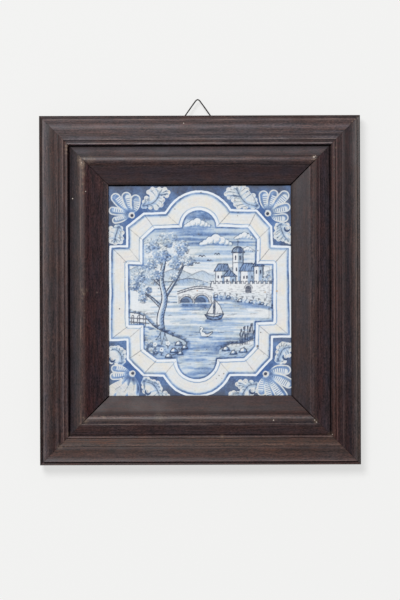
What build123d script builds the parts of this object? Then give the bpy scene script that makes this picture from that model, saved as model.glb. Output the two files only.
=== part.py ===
from build123d import *
import math
import os

# Painted ceramic tile held in a mitred and moulded dark wood frame, with a wire loop to hang it.
# Millimetres. The back lies on z = 0 and the painted face looks up; +Y is the picture's top.
# The origin is the middle of the frame's back.

# Tile, a hand-cut slab that is a little wider at its face than at its back
tile_width = 176.0
tile_height = 202.5
tile_thickness = 10.5
tile_side_slope = 6.0
tile_edge_radius = 1.2
tile_side_clearance = 0.5
tile_play = 0.5
tile_lap = 3.0

# Back board, a thin panel behind the tile, flush with the back of the frame
board_thickness = 3.0
board_side_clearance = 0.3

# Frieze, the band between the two mouldings, a ridge on the carcass's own front
frieze_width = 10.4
frieze_height = 2.9
frieze_rise = 1.8

# Sight moulding, from the tile outwards: a bevel, a flat foot, a round bead and a thin fillet
bevel_width = 15.2
bevel_edge_height = 1.8
bevel_rise = 2.6
foot_width = 2.6
sight_edge_radius = 0.4
bead_width = 8.2
bead_height = 6.1
bead_crest_inset = 4.1
sight_fillet_width = 0.8
sight_fillet_height = 4.9
open_mitre_gap = 1.0
tight_mitre_gap = 0.12

# Outer moulding, from its inner edge outwards
inner_bead_width = 2.2
inner_bead_height = 7.1
lower_fillet_width = 2.2
lower_fillet_height = 6.6
upper_fillet_width = 5.5
upper_fillet_height = 7.1
upper_fillet_rise = 0.3
quirk_width = 0.7
quirk_depth = 0.5
swell_width = 12.7
swell_height = 7.4
hollow_width = 6.5
hollow_rise = 0.7
hollow_sag = 0.22
arris_width = 0.5
arris_height = 6.0
outer_fillet_width = 3.2
outer_fillet_height = 3.2
outer_edge_radius = 0.6
moulding_overhang = 12.0
moulding_back = 7.0

# Hanging wire and the two tacks that hold its ends behind the top rail
wire_diameter = 1.2
wire_reach = 17.0
wire_play = 0.05
wire_bend_inside_radius = 2.0
tack_spacing = 32.0
wire_offset = -1.6
tack_inset = 6.0
tack_shank_radius = 0.8
tack_hole_clearance = 0.02
tack_length = 8.0
tack_point_length = 1.6
tack_head_radius = 2.6
tack_head_height = 0.9

# Sizes that follow from those above
carcass_thickness = board_thickness + tile_thickness + tile_play
sight_width = tile_width - 2 * tile_lap
sight_height = tile_height - 2 * tile_lap
sight_moulding_width = bevel_width + foot_width + bead_width + sight_fillet_width
outer_moulding_width = (
    inner_bead_width
    + lower_fillet_width
    + upper_fillet_width
    + quirk_width
    + swell_width
    + arris_width
    + outer_fillet_width
)
sight_inset = outer_moulding_width + frieze_width
rail_width = sight_inset + sight_moulding_width
carcass_width = rail_width - moulding_overhang - tile_lap - tile_side_clearance
frame_width = sight_width + 2 * rail_width
frame_height = sight_height + 2 * rail_width

# Each side of the frame, with the direction from that side towards the tile
sides = {
    "top": Vector(0, -1, 0),
    "bottom": Vector(0, 1, 0),
    "left": Vector(1, 0, 0),
    "right": Vector(-1, 0, 0),
}
# Corners where the sight moulding's mitre has opened with age
open_corners = [{"top", "right"}, {"bottom", "left"}, {"bottom", "right"}]


def half_size(side):
    """Distance from the origin to the frame's outer edge on one side."""
    return frame_height / 2 if side in ("top", "bottom") else frame_width / 2


def section_plane(side):
    """Plane across the middle of a rail: x runs inwards from the outer edge and y runs up."""
    inward = sides[side]
    return Plane(
        origin=inward * -half_size(side), x_dir=inward, z_dir=inward.cross(Vector(0, 0, 1))
    )


def mitre_plane(side, end_side, inset, width, gap):
    """Plane that cuts one end of a rail, with its z pointing off the rail.

    It passes through the outer corner of a ring of this width that is set in by inset, and is
    turned so that the joint is shut there and open by gap at the ring's inner corner.
    """
    inward, end_inward = sides[side], sides[end_side]
    corner = inward * (inset - half_size(side)) + end_inward * (inset - half_size(end_side))
    turn = math.atan2(gap / 2, width * math.sqrt(2))
    joint_line = (inward + end_inward).normalized()
    off_rail = (inward - end_inward).normalized()
    normal = off_rail * math.cos(turn) + joint_line * math.sin(turn)
    return Plane(origin=corner, x_dir=Vector(0, 0, 1), z_dir=normal)


def ends_of(side):
    """The two sides whose rails meet this one."""
    return ("left", "right") if side in ("top", "bottom") else ("top", "bottom")


def length_of(side):
    """Length of a rail along the frame's outer edge."""
    return frame_width if side in ("top", "bottom") else frame_height


def tack_plane(end_side):
    """Plane on the moulding's back where the tack nearer one end of the top rail goes in.

    Its z points out of the wood, along the tack towards its head.
    """
    along = sides[end_side] * (-tack_spacing / 2)
    return Plane(
        origin=(wire_offset + along.X, frame_height / 2 - tack_inset, moulding_back),
        z_dir=(0, 0, -1),
    )


os.makedirs("parts", exist_ok=True)

# Tile
with BuildPart() as tile:
    with BuildSketch(Plane.XY.offset(board_thickness + tile_thickness)):
        Rectangle(tile_width, tile_height)
    extrude(amount=-tile_thickness, taper=tile_side_slope)
    fillet(tile.faces().sort_by(Axis.Z)[-1].edges(), radius=tile_edge_radius)
tile.part.label = "tile"
export_step(tile.part, "parts/tile.step")

# Back board
with BuildPart() as back_board:
    board_margin = 2 * (tile_side_clearance - board_side_clearance)
    with BuildSketch():
        Rectangle(tile_width + board_margin, tile_height + board_margin)
    extrude(amount=board_thickness)
back_board.part.label = "back_board"
export_step(back_board.part, "parts/back_board.step")

# Carcass rails, boards whose bare front between the mouldings is the frieze, which rises
# towards the tile
for side in sides:
    with BuildPart() as carcass:
        with BuildSketch(section_plane(side)):
            carcass_end = moulding_overhang + carcass_width
            with BuildLine():
                Polyline(
                    (moulding_overhang, 0),
                    (moulding_overhang, carcass_thickness),
                    (outer_moulding_width, carcass_thickness),
                    (outer_moulding_width, carcass_thickness + frieze_height),
                    (sight_inset, carcass_thickness + frieze_height + frieze_rise),
                    (sight_inset, carcass_thickness),
                    (carcass_end, carcass_thickness),
                    (carcass_end, 0),
                    (moulding_overhang, 0),
                )
            make_face()
        extrude(amount=length_of(side) / 2, both=True)
        for end_side in ends_of(side):
            split(
                bisect_by=mitre_plane(side, end_side, moulding_overhang, carcass_width, 0),
                keep=Keep.BOTTOM,
            )
    carcass.part.label = f"carcass_{side}"
    export_step(carcass.part, f"parts/carcass_{side}.step")

# Sight moulding rails, which lap the tile's edge and hold it
for side in sides:
    with BuildPart() as sight_moulding:
        with BuildSketch(section_plane(side)) as sight_section:
            seat = carcass_thickness
            bead_start = sight_inset + sight_fillet_width
            bead_end = bead_start + bead_width
            crest = (bead_start + bead_crest_inset, seat + bead_height)
            foot_height = bevel_edge_height + bevel_rise
            with BuildLine():
                Polyline(
                    (bead_start, seat + sight_fillet_height),
                    (sight_inset, seat + sight_fillet_height),
                    (sight_inset, seat),
                    (rail_width, seat),
                    (rail_width, seat + bevel_edge_height),
                    (bead_end + foot_width, seat + foot_height),
                    (bead_end, seat + foot_height),
                )
                TangentArc(crest, (bead_end, seat + foot_height), tangent=(1, 0))
                TangentArc(crest, (bead_start, seat + sight_fillet_height), tangent=(-1, 0))
            make_face()
            sight_corners = sight_section.vertices().group_by(Axis.X)[-1]
            fillet(sight_corners.sort_by(Axis.Y)[-1], radius=sight_edge_radius)
        extrude(amount=length_of(side) / 2, both=True)
        for end_side in ends_of(side):
            gap = open_mitre_gap if {side, end_side} in open_corners else tight_mitre_gap
            split(
                bisect_by=mitre_plane(side, end_side, sight_inset, sight_moulding_width, gap),
                keep=Keep.BOTTOM,
            )
    sight_moulding.part.label = f"sight_moulding_{side}"
    export_step(sight_moulding.part, f"parts/sight_moulding_{side}.step")

# Outer moulding rails, glued over the carcass's front and round its outer edge
for side in sides:
    with BuildPart() as outer_moulding:
        with BuildSketch(section_plane(side)) as outer_section:
            seat = carcass_thickness
            arris_start = outer_fillet_width
            swell_start = arris_start + arris_width
            swell_end = swell_start + swell_width
            upper_start = swell_end + quirk_width
            lower_start = upper_start + upper_fillet_width
            inner_bead_start = lower_start + lower_fillet_width
            hollow_start = Vector(swell_start, seat + arris_height)
            hollow_end = Vector(swell_start + hollow_width, seat + arris_height + hollow_rise)
            swell_crest = (swell_end, seat + swell_height)
            with BuildLine():
                edge_top = (0, seat + outer_fillet_height)
                Polyline(
                    (inner_bead_start, seat + lower_fillet_height),
                    (lower_start, seat + lower_fillet_height),
                    (lower_start, seat + upper_fillet_height + upper_fillet_rise),
                    (upper_start, seat + upper_fillet_height),
                    (upper_start, seat + swell_height - quirk_depth),
                    (swell_end, seat + swell_height - quirk_depth),
                    swell_crest,
                )
                TangentArc(swell_crest, hollow_end, tangent=(-1, 0))
                ThreePointArc(
                    hollow_end, (hollow_start + hollow_end) / 2 - (0, hollow_sag), hollow_start
                )
                Polyline(
                    hollow_start,
                    (arris_start, seat + arris_height),
                    (arris_start, seat + outer_fillet_height),
                    edge_top,
                    (0, moulding_back),
                    (moulding_overhang, moulding_back),
                    (moulding_overhang, seat),
                    (outer_moulding_width, seat),
                    (outer_moulding_width, seat + lower_fillet_height),
                )
                ThreePointArc(
                    (outer_moulding_width, seat + lower_fillet_height),
                    (outer_moulding_width - inner_bead_width / 2, seat + inner_bead_height),
                    (inner_bead_start, seat + lower_fillet_height),
                )
            make_face()
            fillet(outer_section.vertices().group_by(Axis.X)[0], radius=outer_edge_radius)
        extrude(amount=length_of(side) / 2, both=True)
        for end_side in ends_of(side):
            split(
                bisect_by=mitre_plane(side, end_side, 0, outer_moulding_width, 0),
                keep=Keep.BOTTOM,
            )
        if side == "top":
            with Locations([tack_plane(end_side) for end_side in ends_of(side)]):
                Hole(radius=tack_shank_radius + tack_hole_clearance, depth=tack_length)
    outer_moulding.part.label = f"outer_moulding_{side}"
    export_step(outer_moulding.part, f"parts/outer_moulding_{side}.step")

# Tacks, driven into the moulding's back with the wire under their heads
for end_side in ends_of("top"):
    with BuildPart() as tack:
        tack_axis = tack_plane(end_side)
        wire_room = wire_diameter + 2 * wire_play
        with BuildSketch(Plane(origin=tack_axis.origin, x_dir=(1, 0, 0), z_dir=(0, 1, 0))):
            head_top = (0, wire_room + tack_head_height)
            head_rim = (tack_head_radius, wire_room)
            with BuildLine():
                TangentArc(head_top, head_rim, tangent=(1, 0))
                Polyline(
                    head_rim,
                    (tack_shank_radius, wire_room),
                    (tack_shank_radius, tack_point_length - tack_length),
                    (0, -tack_length),
                    head_top,
                )
            make_face()
        revolve(axis=Axis(tack_axis.origin, (0, 0, 1)))
    tack.part.label = f"tack_{end_side}"
    export_step(tack.part, f"parts/tack_{end_side}.step")

# Hanging wire, straight from each tack to one rounded bend above the frame
wire_bend_radius = wire_bend_inside_radius + wire_diameter / 2
with BuildPart() as hanging_wire:
    wire_height = moulding_back - wire_play - wire_diameter / 2
    wire_peak = Vector(wire_offset, frame_height / 2 + wire_reach, wire_height)
    wire_ends = []
    for end_side in ends_of("top"):
        tack_origin = tack_plane(end_side).origin
        tack_centre = Vector(tack_origin.X, tack_origin.Y, wire_height)
        towards_peak = (wire_peak - tack_centre).normalized()
        wire_ends.append(tack_centre + towards_peak * (tack_shank_radius + wire_play))
    with BuildLine() as wire_route:
        FilletPolyline(wire_ends[0], wire_peak, wire_ends[1], radius=wire_bend_radius)
    with BuildSketch(Plane(origin=wire_route.line @ 0, z_dir=wire_route.line % 0)):
        Circle(wire_diameter / 2)
    sweep(path=wire_route.line)
hanging_wire.part.label = "hanging_wire"
export_step(hanging_wire.part, "parts/hanging_wire.step")
wire_length = sum(edge.length for edge in wire_route.line.edges())
print("hanging wire: length", round(wire_length, 2))
print("hanging wire: bend radius", wire_bend_radius)
print("hanging wire: section times length", round(wire_length * math.pi * wire_diameter**2 / 4, 2))
print("hanging wire: volume", round(hanging_wire.part.volume, 2))
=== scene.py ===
"""Looks of a painted ceramic tile held in a mitred and moulded dark wood frame.

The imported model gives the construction. This script dresses it: it paints and glazes the tile,
rounds and ages the wood of the frame, lays the hanging wire, and sets up the studio. Lengths are
metres, except on the tile's painting, where they are millimetres from the tile's middle with y
towards the picture's top.
"""

import logging
import math
from dataclasses import dataclass, field
from enum import Enum
from typing import Sequence

import bpy
import numpy as np
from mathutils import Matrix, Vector


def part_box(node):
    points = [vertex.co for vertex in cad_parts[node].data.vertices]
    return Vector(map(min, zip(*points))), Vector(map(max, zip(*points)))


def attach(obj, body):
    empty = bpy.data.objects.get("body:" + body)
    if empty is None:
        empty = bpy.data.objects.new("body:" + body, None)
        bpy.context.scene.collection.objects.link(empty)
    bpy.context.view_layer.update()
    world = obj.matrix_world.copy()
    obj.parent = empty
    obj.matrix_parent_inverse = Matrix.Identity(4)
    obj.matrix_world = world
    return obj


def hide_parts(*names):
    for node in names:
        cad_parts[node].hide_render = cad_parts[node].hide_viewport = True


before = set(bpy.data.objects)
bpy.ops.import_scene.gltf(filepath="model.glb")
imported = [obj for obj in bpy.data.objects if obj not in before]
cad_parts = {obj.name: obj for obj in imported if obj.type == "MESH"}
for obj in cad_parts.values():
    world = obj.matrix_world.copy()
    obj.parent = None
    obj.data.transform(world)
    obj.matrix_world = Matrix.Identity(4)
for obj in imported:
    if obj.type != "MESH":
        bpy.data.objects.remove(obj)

MM = 0.001
BODY = "root"
log = logging.getLogger("framed_tile")

Point = tuple[float, float]
Place = tuple[float, float, float]
Line = Sequence[Point] | np.ndarray
Colour = tuple[float, float, float, float]
Stop = tuple[float, Colour]
Socket = bpy.types.NodeSocket


class Rail(Enum):
    """The four sides of the frame."""

    TOP = "top"
    BOTTOM = "bottom"
    LEFT = "left"
    RIGHT = "right"

    @property
    def runs_across(self) -> bool:
        """Whether the rail lies along the frame's width."""
        return self in (Rail.TOP, Rail.BOTTOM)


def srgb(red: float, green: float, blue: float) -> Colour:
    """Turn a colour as seen on screen into the linear one that shaders take.

    Args:
        red, green, blue: levels from 0 to 255.

    Returns:
        The linear colour with full alpha.
    """
    levels = (level / 255 for level in (red, green, blue))
    linear = [v / 12.92 if v <= 0.04045 else ((v + 0.055) / 1.055) ** 2.4 for v in levels]
    return (*linear, 1)


def grey(level: float, alpha: float = 1.0) -> Colour:
    """A linear grey, for ramps that carry a number and its cover."""
    return (level, level, level, alpha)


class Shader:
    """A material and its node tree, built one node at a time."""

    def __init__(self, name: str) -> None:
        """Start a material that has only a Principled surface.

        Args:
            name: the material's name.
        """
        self.material = bpy.data.materials.new(name)
        self.material.use_nodes = True
        self.tree = self.material.node_tree
        self.tree.nodes.clear()
        self.surface = self.node("BsdfPrincipled")
        self.output = self.node("OutputMaterial", {"Surface": self.surface.outputs["BSDF"]})

    def node(self, kind: str, inputs: dict | None = None, **settings: object) -> bpy.types.Node:
        """Add a node, set its properties and feed its inputs."""
        made = self.tree.nodes.new(f"ShaderNode{kind}")
        for key, value in settings.items():
            setattr(made, key, value)
        return self.feed(made, inputs or {})

    def feed(self, node: bpy.types.Node, inputs: dict) -> bpy.types.Node:
        """Link each input named or counted to another node's output, or give it a plain value."""
        for key, value in inputs.items():
            if isinstance(value, Socket):
                self.tree.links.new(value, node.inputs[key])
            else:
                node.inputs[key].default_value = value
        return node

    def surface_set(self, **values: object) -> None:
        """Feed the Principled surface's inputs, named with underscores for spaces."""
        self.feed(self.surface, {key.replace("_", " "): value for key, value in values.items()})

    def coordinates(self, scale: Place = (1, 1, 1), shift: Place = (0, 0, 0)) -> Socket:
        """Object coordinates, scaled and shifted.

        Args:
            scale: how many pattern units there are in a metre along each axis.
            shift: offset added after the scale.

        Returns:
            The vector output.
        """
        source = self.node("TexCoord").outputs["Object"]
        inputs = {"Vector": source, "Scale": scale, "Location": shift}
        return self.node("Mapping", inputs).outputs["Vector"]

    def axis(self, vector: Socket, name: str) -> Socket:
        """One component, X, Y or Z, of a vector."""
        return self.node("SeparateXYZ", {"Vector": vector}).outputs[name]

    def attribute(self, name: str) -> Socket:
        """A number that the mesh stores at its vertices."""
        return self.node("Attribute", attribute_name=name).outputs["Fac"]

    def front(self) -> Socket:
        """Object coordinates in millimetres, seen flat from the front."""
        return self.coordinates((1 / MM, 1 / MM, 0))

    def distance(self, front: Socket, place: Point) -> Socket:
        """Distance from a place on the front."""
        inputs = {0: front, 1: (*place, 0)}
        return self.node("VectorMath", inputs, operation="DISTANCE").outputs["Value"]

    def math(self, operation: str, *values: object, clamp: bool = False) -> Socket:
        """A Math node on the values given."""
        inputs = dict(enumerate(values))
        return self.node("Math", inputs, operation=operation, use_clamp=clamp).outputs["Value"]

    def times(self, first: object, second: object, clamp: bool = False) -> Socket:
        """The product of two numbers."""
        return self.math("MULTIPLY", first, second, clamp=clamp)

    def plus(self, first: object, second: object) -> Socket:
        """The sum of two numbers."""
        return self.math("ADD", first, second)

    def minus(self, first: object, second: object) -> Socket:
        """What is left of a number once another is taken off."""
        return self.math("SUBTRACT", first, second)

    def larger(self, first: object, second: object) -> Socket:
        """The larger of two numbers."""
        return self.math("MAXIMUM", first, second)

    def noise(
        self, vector: Socket, scale: float, detail: float, roughness: float, distortion: float = 0.0,
    ) -> Socket:
        """Noise from 0 to 1 with a mean of about a half."""
        inputs = {"Vector": vector, "Scale": scale, "Detail": detail, "Roughness": roughness}
        inputs["Distortion"] = distortion
        return self.node("TexNoise", inputs).outputs["Fac"]

    def cells(self, vector: Socket) -> Socket:
        """Distance to the nearest of many scattered points."""
        return self.node("TexVoronoi", {"Vector": vector, "Scale": 1}).outputs["Distance"]

    def span(
        self, value: object, low: float, high: float, to_low: float = 0.0, to_high: float = 1.0,
    ) -> Socket:
        """Map a range of values to another, held at its ends."""
        inputs = {"Value": value, "From Min": low, "From Max": high}
        inputs |= {"To Min": to_low, "To Max": to_high}
        return self.node("MapRange", inputs).outputs["Result"]

    def ramp(
        self, value: object, stops: Sequence[Stop], low: float = 0.0, high: float = 1.0,
    ) -> tuple[Socket, Socket]:
        """Colours along a range.

        Args:
            value: what is looked up.
            stops: places, in the value's own units, with their colours.
            low, high: the ends of the range.

        Returns:
            The colour and alpha outputs.
        """
        made = self.node("ValToRGB", {"Fac": self.span(value, low, high)})
        elements = made.color_ramp.elements
        while len(elements) < len(stops):
            elements.new(1)
        for element, (place, colour) in zip(elements, stops):
            element.position = (place - low) / (high - low)
            element.color = colour
        return made.outputs["Color"], made.outputs["Alpha"]

    def mix(self, factor: object, first: object, second: object, blend: str = "MIX") -> Socket:
        """Blend two colours."""
        inputs = {0: factor, 6: first, 7: second}
        return self.node("Mix", inputs, data_type="RGBA", blend_type=blend).outputs[2]

    def blend(self, factor: object, first: object, second: object) -> Socket:
        """Blend two numbers."""
        inputs = {0: factor, 2: first, 3: second}
        return self.node("Mix", inputs, data_type="FLOAT").outputs[0]

    def bump(self, height: object, distance: float, strength: float) -> None:
        """Raise the surface by a height field, given in units of distance metres."""
        inputs = {"Height": height, "Distance": distance, "Strength": strength}
        self.surface_set(Normal=self.node("Bump", inputs).outputs["Normal"])


@dataclass
class Reach:
    """How a shape lies on the canvas, over the part of it that the shape may touch."""

    window: tuple[slice, slice]
    outside: np.ndarray
    along: np.ndarray
    across: np.ndarray

    def cover(self, soft: float, grow: float = 0.0) -> np.ndarray:
        """Share of each cell that the shape covers.

        Args:
            soft: width of the blurred edge.
            grow: how far the shape is swollen, or shrunk where negative.

        Returns:
            Values from 0 to 1.
        """
        t = np.clip(0.5 - (self.outside - grow) / soft, 0, 1)
        return t * t * (3 - 2 * t)


def eased(value: np.ndarray, low: float, high: float) -> np.ndarray:
    """Smooth step from 0 at low to 1 at high."""
    t = np.clip((value - low) / (high - low), 0, 1)
    return t * t * (3 - 2 * t)


def smooth_line(points: Line, per_span: int) -> np.ndarray:
    """A smooth line through a few points.

    Args:
        points: the points that it passes.
        per_span: how many steps there are between two of them.

    Returns:
        The line's points.
    """
    p = np.array(points, float)
    p = np.vstack([2 * p[0] - p[1], p, 2 * p[-1] - p[-2]])
    t = np.linspace(0, 1, per_span, endpoint=False)[:, None]
    spans = []
    for a, b, c, d in zip(p[:-3], p[1:-2], p[2:-1], p[3:]):
        bend = (2 * a - 5 * b + 4 * c - d) * t**2 + (3 * b - a - 3 * c + d) * t**3
        spans.append((2 * b + (c - a) * t + bend) / 2)
    return np.vstack([*spans, p[-2:-1]])


def arc(centre: Point, radius: float, start: float, end: float, steps: int = 14) -> list[Point]:
    """Points round part of a circle, with its angles in degrees from the +x axis."""
    angles = np.radians(np.linspace(start, end, steps))
    return [(centre[0] + radius * math.cos(a), centre[1] + radius * math.sin(a)) for a in angles]


class Canvas:
    """Paint on the tile's face, kept as fields on a fine grid.

    wash is the thin blue, from 0 bare to 1 full. line_gap is how far a cell lies outside the
    nearest drawn line, and line_tone how dark that line is. reserve is how far it lies outside
    what is left white in the blue ground. hatch is where fine crossing strokes go and hatch_at
    how far along their run a cell lies. outer and inner are how far it lies inside the border's
    two outlines.
    """

    FIELDS = ("wash", "line_gap", "line_tone", "reserve", "hatch", "hatch_at", "outer", "inner")
    FAR = 3
    STROKE = 0.28

    def __init__(self, width: float, height: float, step: float, seed: int) -> None:
        """Stretch a bare canvas.

        Args:
            width, height: its size.
            step: distance between cells.
            seed: start of the painter's random choices.
        """
        self.step = step
        self.xs = np.arange(-width / 2, width / 2 + step, step)
        self.ys = np.arange(-height / 2, height / 2 + step, step)
        self.x, self.y = np.meshgrid(self.xs, self.ys)
        for name in self.FIELDS:
            setattr(self, name, np.zeros_like(self.x))
        self.line_gap += self.FAR
        self.reserve += self.FAR
        self.rng = np.random.default_rng(seed)

    def window(self, low: np.ndarray, high: np.ndarray) -> tuple[slice, slice]:
        """The cells between two corners, as a pair of slices."""
        left, below = (np.floor((low - (self.xs[0], self.ys[0])) / self.step)).astype(int)
        right, above = (np.ceil((high - (self.xs[0], self.ys[0])) / self.step)).astype(int)
        rows = slice(max(below, 0), max(above + 1, 0))
        return rows, slice(max(left, 0), max(right + 1, 0))

    def limb(self, points: Line, radii: Sequence[float]) -> Reach:
        """A line whose half width changes along it, with round ends.

        Args:
            points: the line.
            radii: its half width at each point.

        Returns:
            Its reach.
        """
        p, r = np.array(points, float), np.array(radii, float)
        pad = r.max() + 1.2
        window = self.window(p.min(0) - pad, p.max(0) + pad)
        x, y = self.x[window], self.y[window]
        outside = np.full_like(x, 1e3)
        along, across = np.zeros_like(x), np.zeros_like(x)
        travelled = 0
        for (ax, ay), (bx, by), ra, rb in zip(p[:-1], p[1:], r[:-1], r[1:]):
            dx, dy = bx - ax, by - ay
            length = math.hypot(dx, dy) or 1e-6
            t = np.clip(((x - ax) * dx + (y - ay) * dy) / length**2, 0, 1)
            px, py = x - (ax + t * dx), y - (ay + t * dy)
            here = np.hypot(px, py) - (ra + t * (rb - ra))
            nearer = here < outside
            outside = np.where(nearer, here, outside)
            along = np.where(nearer, travelled + t * length, along)
            across = np.where(nearer, (dx * py - dy * px) / length, across)
            travelled += length
        return Reach(window, outside, along, across)

    def patch(self, points: Line, pad: float = 1.2) -> Reach:
        """A closed outline, with distance to it negative inside."""
        p = np.array(points, float)
        window = self.window(p.min(0) - pad, p.max(0) + pad)
        x, y = self.x[window], self.y[window]
        near = np.full_like(x, 1e6)
        inside = np.zeros(x.shape, bool)
        for (ax, ay), (bx, by) in zip(p, np.roll(p, -1, axis=0)):
            dx, dy = bx - ax, by - ay
            t = np.clip(((x - ax) * dx + (y - ay) * dy) / max(dx * dx + dy * dy, 1e-9), 0, 1)
            near = np.minimum(near, np.hypot(x - ax - t * dx, y - ay - t * dy))
            if ay != by:
                crosses = ((ay > y) != (by > y)) & (x < dx * (y - ay) / dy + ax)
                inside ^= crosses
        outside = np.where(inside, -near, near)
        return Reach(window, outside, x, y)

    def lay(self, reach: Reach, tone: object, soft: float = 0.5, grow: float = 0.0) -> None:
        """Paint over what is there, bare glaze included, and hide the lines under it."""
        cover, w = reach.cover(soft, grow), reach.window
        self.wash[w] += (tone - self.wash[w]) * cover
        self.line_gap[w] = np.where(cover > 0.5, self.FAR, self.line_gap[w])
        self.hatch[w] *= 1 - cover

    def tint(self, reach: Reach, tone: object, soft: float) -> None:
        """Add thin blue on top of what is there."""
        cover, w = reach.cover(soft) * tone, reach.window
        self.wash[w] = 1 - (1 - self.wash[w]) * (1 - cover)

    def leave(self, reach: Reach, grow: float = 0.0) -> None:
        """Leave a shape out of the blue ground."""
        w = reach.window
        self.reserve[w] = np.minimum(self.reserve[w], reach.outside - grow)

    def ink(self, reach: Reach, tone: object, edge: float = 0.0) -> None:
        """Draw a shape in the line colour.

        Args:
            reach: the shape.
            tone: how dark it is.
            edge: half width of the line along its outline, or 0 to fill it.
        """
        w = reach.window
        gap = np.abs(reach.outside) - edge if edge else reach.outside
        nearer = gap < self.line_gap[w]
        self.line_gap[w] = np.where(nearer, gap, self.line_gap[w])
        self.line_tone[w] = np.where(nearer, tone, self.line_tone[w])

    def hatched(self, reach: Reach, angle: float, spacing: float, tone: object) -> None:
        """Fill a shape with broken parallel strokes.

        Args:
            reach: the shape.
            angle: the strokes' direction in degrees from the +x axis.
            spacing: distance from one stroke to the next.
            tone: how dark they are.
        """
        w, turn = reach.window, math.radians(angle)
        run = self.x[w] * math.cos(turn) + self.y[w] * math.sin(turn)
        row = (self.y[w] * math.cos(turn) - self.x[w] * math.sin(turn)) / spacing
        row += 0.16 * np.sin(run * 0.8)
        gap = np.abs(row % 1 - 0.5) * spacing - self.STROKE
        gap += 0.5 * eased(np.sin(run * 0.7 + 2.3 * np.floor(row)), 0.2, 0.8)
        strokes = Reach(w, np.maximum(gap, reach.outside + 0.4), reach.along, reach.across)
        self.ink(strokes, tone)

    def line(self, points: Line, width: float, tone: float = 0.8, taper: float = 0.45) -> None:
        """Draw a fine dark line that thins towards its ends.

        Args:
            points: the line.
            width: its full width at its middle.
            tone: how dark it is.
            taper: share of the width that is lost at the ends.
        """
        t = np.linspace(-1, 1, len(points))
        self.ink(self.limb(points, width / 2 * (1 - taper * t**2)), tone)

    def sample(self, name: str, x: np.ndarray, y: np.ndarray) -> np.ndarray:
        """A field's values at points anywhere on the canvas, averaged over a cell."""
        values = getattr(self, name)
        column = np.clip((x - self.xs[0]) / self.step, 0, len(self.xs) - 1.001)
        row = np.clip((y - self.ys[0]) / self.step, 0, len(self.ys) - 1.001)
        i, j = row.astype(int), column.astype(int)
        u, v = row - i, column - j
        low = values[i, j] * (1 - v) + values[i, j + 1] * v
        high = values[i + 1, j] * (1 - v) + values[i + 1, j + 1] * v
        return low * (1 - u) + high * u


@dataclass(frozen=True)
class Cartouche:
    """The ruled border: two outlines with straight shoulders, side lobes and round ends."""

    outer_top: Point = (-0.8, 58.7)
    outer_top_radius: float = 33.0
    outer_bottom: Point = (-3.2, -64.6)
    outer_bottom_radius: float = 33.9
    inner_top: Point = (-0.6, 58.6)
    inner_top_radius: float = 15.8
    inner_bottom: Point = (-3.4, -63.7)
    inner_bottom_radius: float = 18.8

    def outer(self) -> list[Point]:
        """The outer outline, clockwise from the left end of the top arch."""
        return [
            *arc(self.outer_top, self.outer_top_radius, 152, 28), (30.5, 74), (52.5, 73.9), (66.2, 58.8),
            (66.6, 40.3), (83.6, 39.8), (84.2, -43), (66.6, -43.4), (66, -63.5), (51.8, -79),
            *arc(self.outer_bottom, self.outer_bottom_radius, -25, -155), (-52.5, -78.9), (-67.3, -63.7),
            (-67.6, -45.6), (-83.8, -46), (-83.2, 40.8), (-67.4, 40.6), (-67.5, 58.8), (-51.9, 71.3),
            (-32, 71.6),
        ]

    def inner(self) -> list[Point]:
        """The inner outline, clockwise from the left end of the top arch."""
        return [
            *arc(self.inner_top, self.inner_top_radius, 182, 0), (44.6, 57.6), (53.1, 47.3), (52.6, 24.2),
            (68.2, 24), (67.8, -29.3), (51.4, -29.6), (51, -52.2), (40.7, -63.2),
            *arc(self.inner_bottom, self.inner_bottom_radius, 0, -180), (-40.2, -63.9), (-52.5, -54.4),
            (-52.8, -32.4), (-66.3, -32.1), (-66.5, 23.9), (-53, 23.4), (-53.2, 47.1), (-42.1, 57.2),
        ]

    def mitres(self) -> list[tuple[Point, Point]]:
        """Pairs of an inner and an outer corner that a fine line joins."""
        return [
            ((-42.6, 58.4), (-51, 69.6)), ((-54.4, 47.8), (-65.6, 57.4)), ((-54.6, 25), (-65.6, 38.8)),
            ((-67.6, 25.4), (-80.6, 38.6)), ((-67.6, -33.8), (-81, -43.8)), ((-54.4, -34), (-65.4, -43.6)),
            ((-54.2, -55.4), (-65.4, -63)), ((-41, -65.6), (-51.8, -76.8)), ((-22.8, -66), (-32.6, -77.6)),
            ((16.8, -65.4), (27, -77.2)), ((41.8, -65), (51, -77)), ((52.8, -53.4), (64, -62.4)),
            ((53, -31.4), (64.4, -41.4)), ((69.6, -31), (81.6, -41)), ((70, 25.6), (81, 38)),
            ((54.4, 25.8), (64.4, 38)), ((54.6, 48), (64.6, 57.6)), ((45.6, 59.4), (52, 71.6)),
            ((16.6, 59.8), (28, 72.4)), ((-17.6, 58.6), (-30.4, 70.2)),
        ]

    def measure(self, canvas: Canvas) -> None:
        """Store the distance to each outline, positive inside it."""
        for name, outline in (("outer", self.outer()), ("inner", self.inner())):
            reach = canvas.patch(outline, pad=400)
            getattr(canvas, name)[reach.window] = -reach.outside

    def paint(self, canvas: Canvas) -> None:
        """Paint the band between the outlines over what strays into it."""
        band = Reach(
            canvas.window(np.array((-400, -400)), np.array((400, 400))),
            np.maximum(-canvas.outer, canvas.inner), canvas.x, canvas.y,
        )
        canvas.lay(band, 0.04)
        shaded = eased(canvas.outer, 7, 1.5) * (canvas.inner < 0) * (canvas.outer > 0)
        canvas.wash[:] = np.maximum(canvas.wash, 0.15 * shaded)
        for inner_corner, outer_corner in self.mitres():
            canvas.line([inner_corner, outer_corner], 0.8, canvas.rng.uniform(0.3, 0.6), 0.2)
            if canvas.rng.uniform() < 0.45:
                canvas.line([inner_corner, inner_corner], 1.3, canvas.rng.uniform(0.4, 0.8))
        sill = [(56, 22), (64.6, 21.6), (64.2, -26.4), (54.6, -27)]
        canvas.line(sill, 0.8, 0.3)


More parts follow.
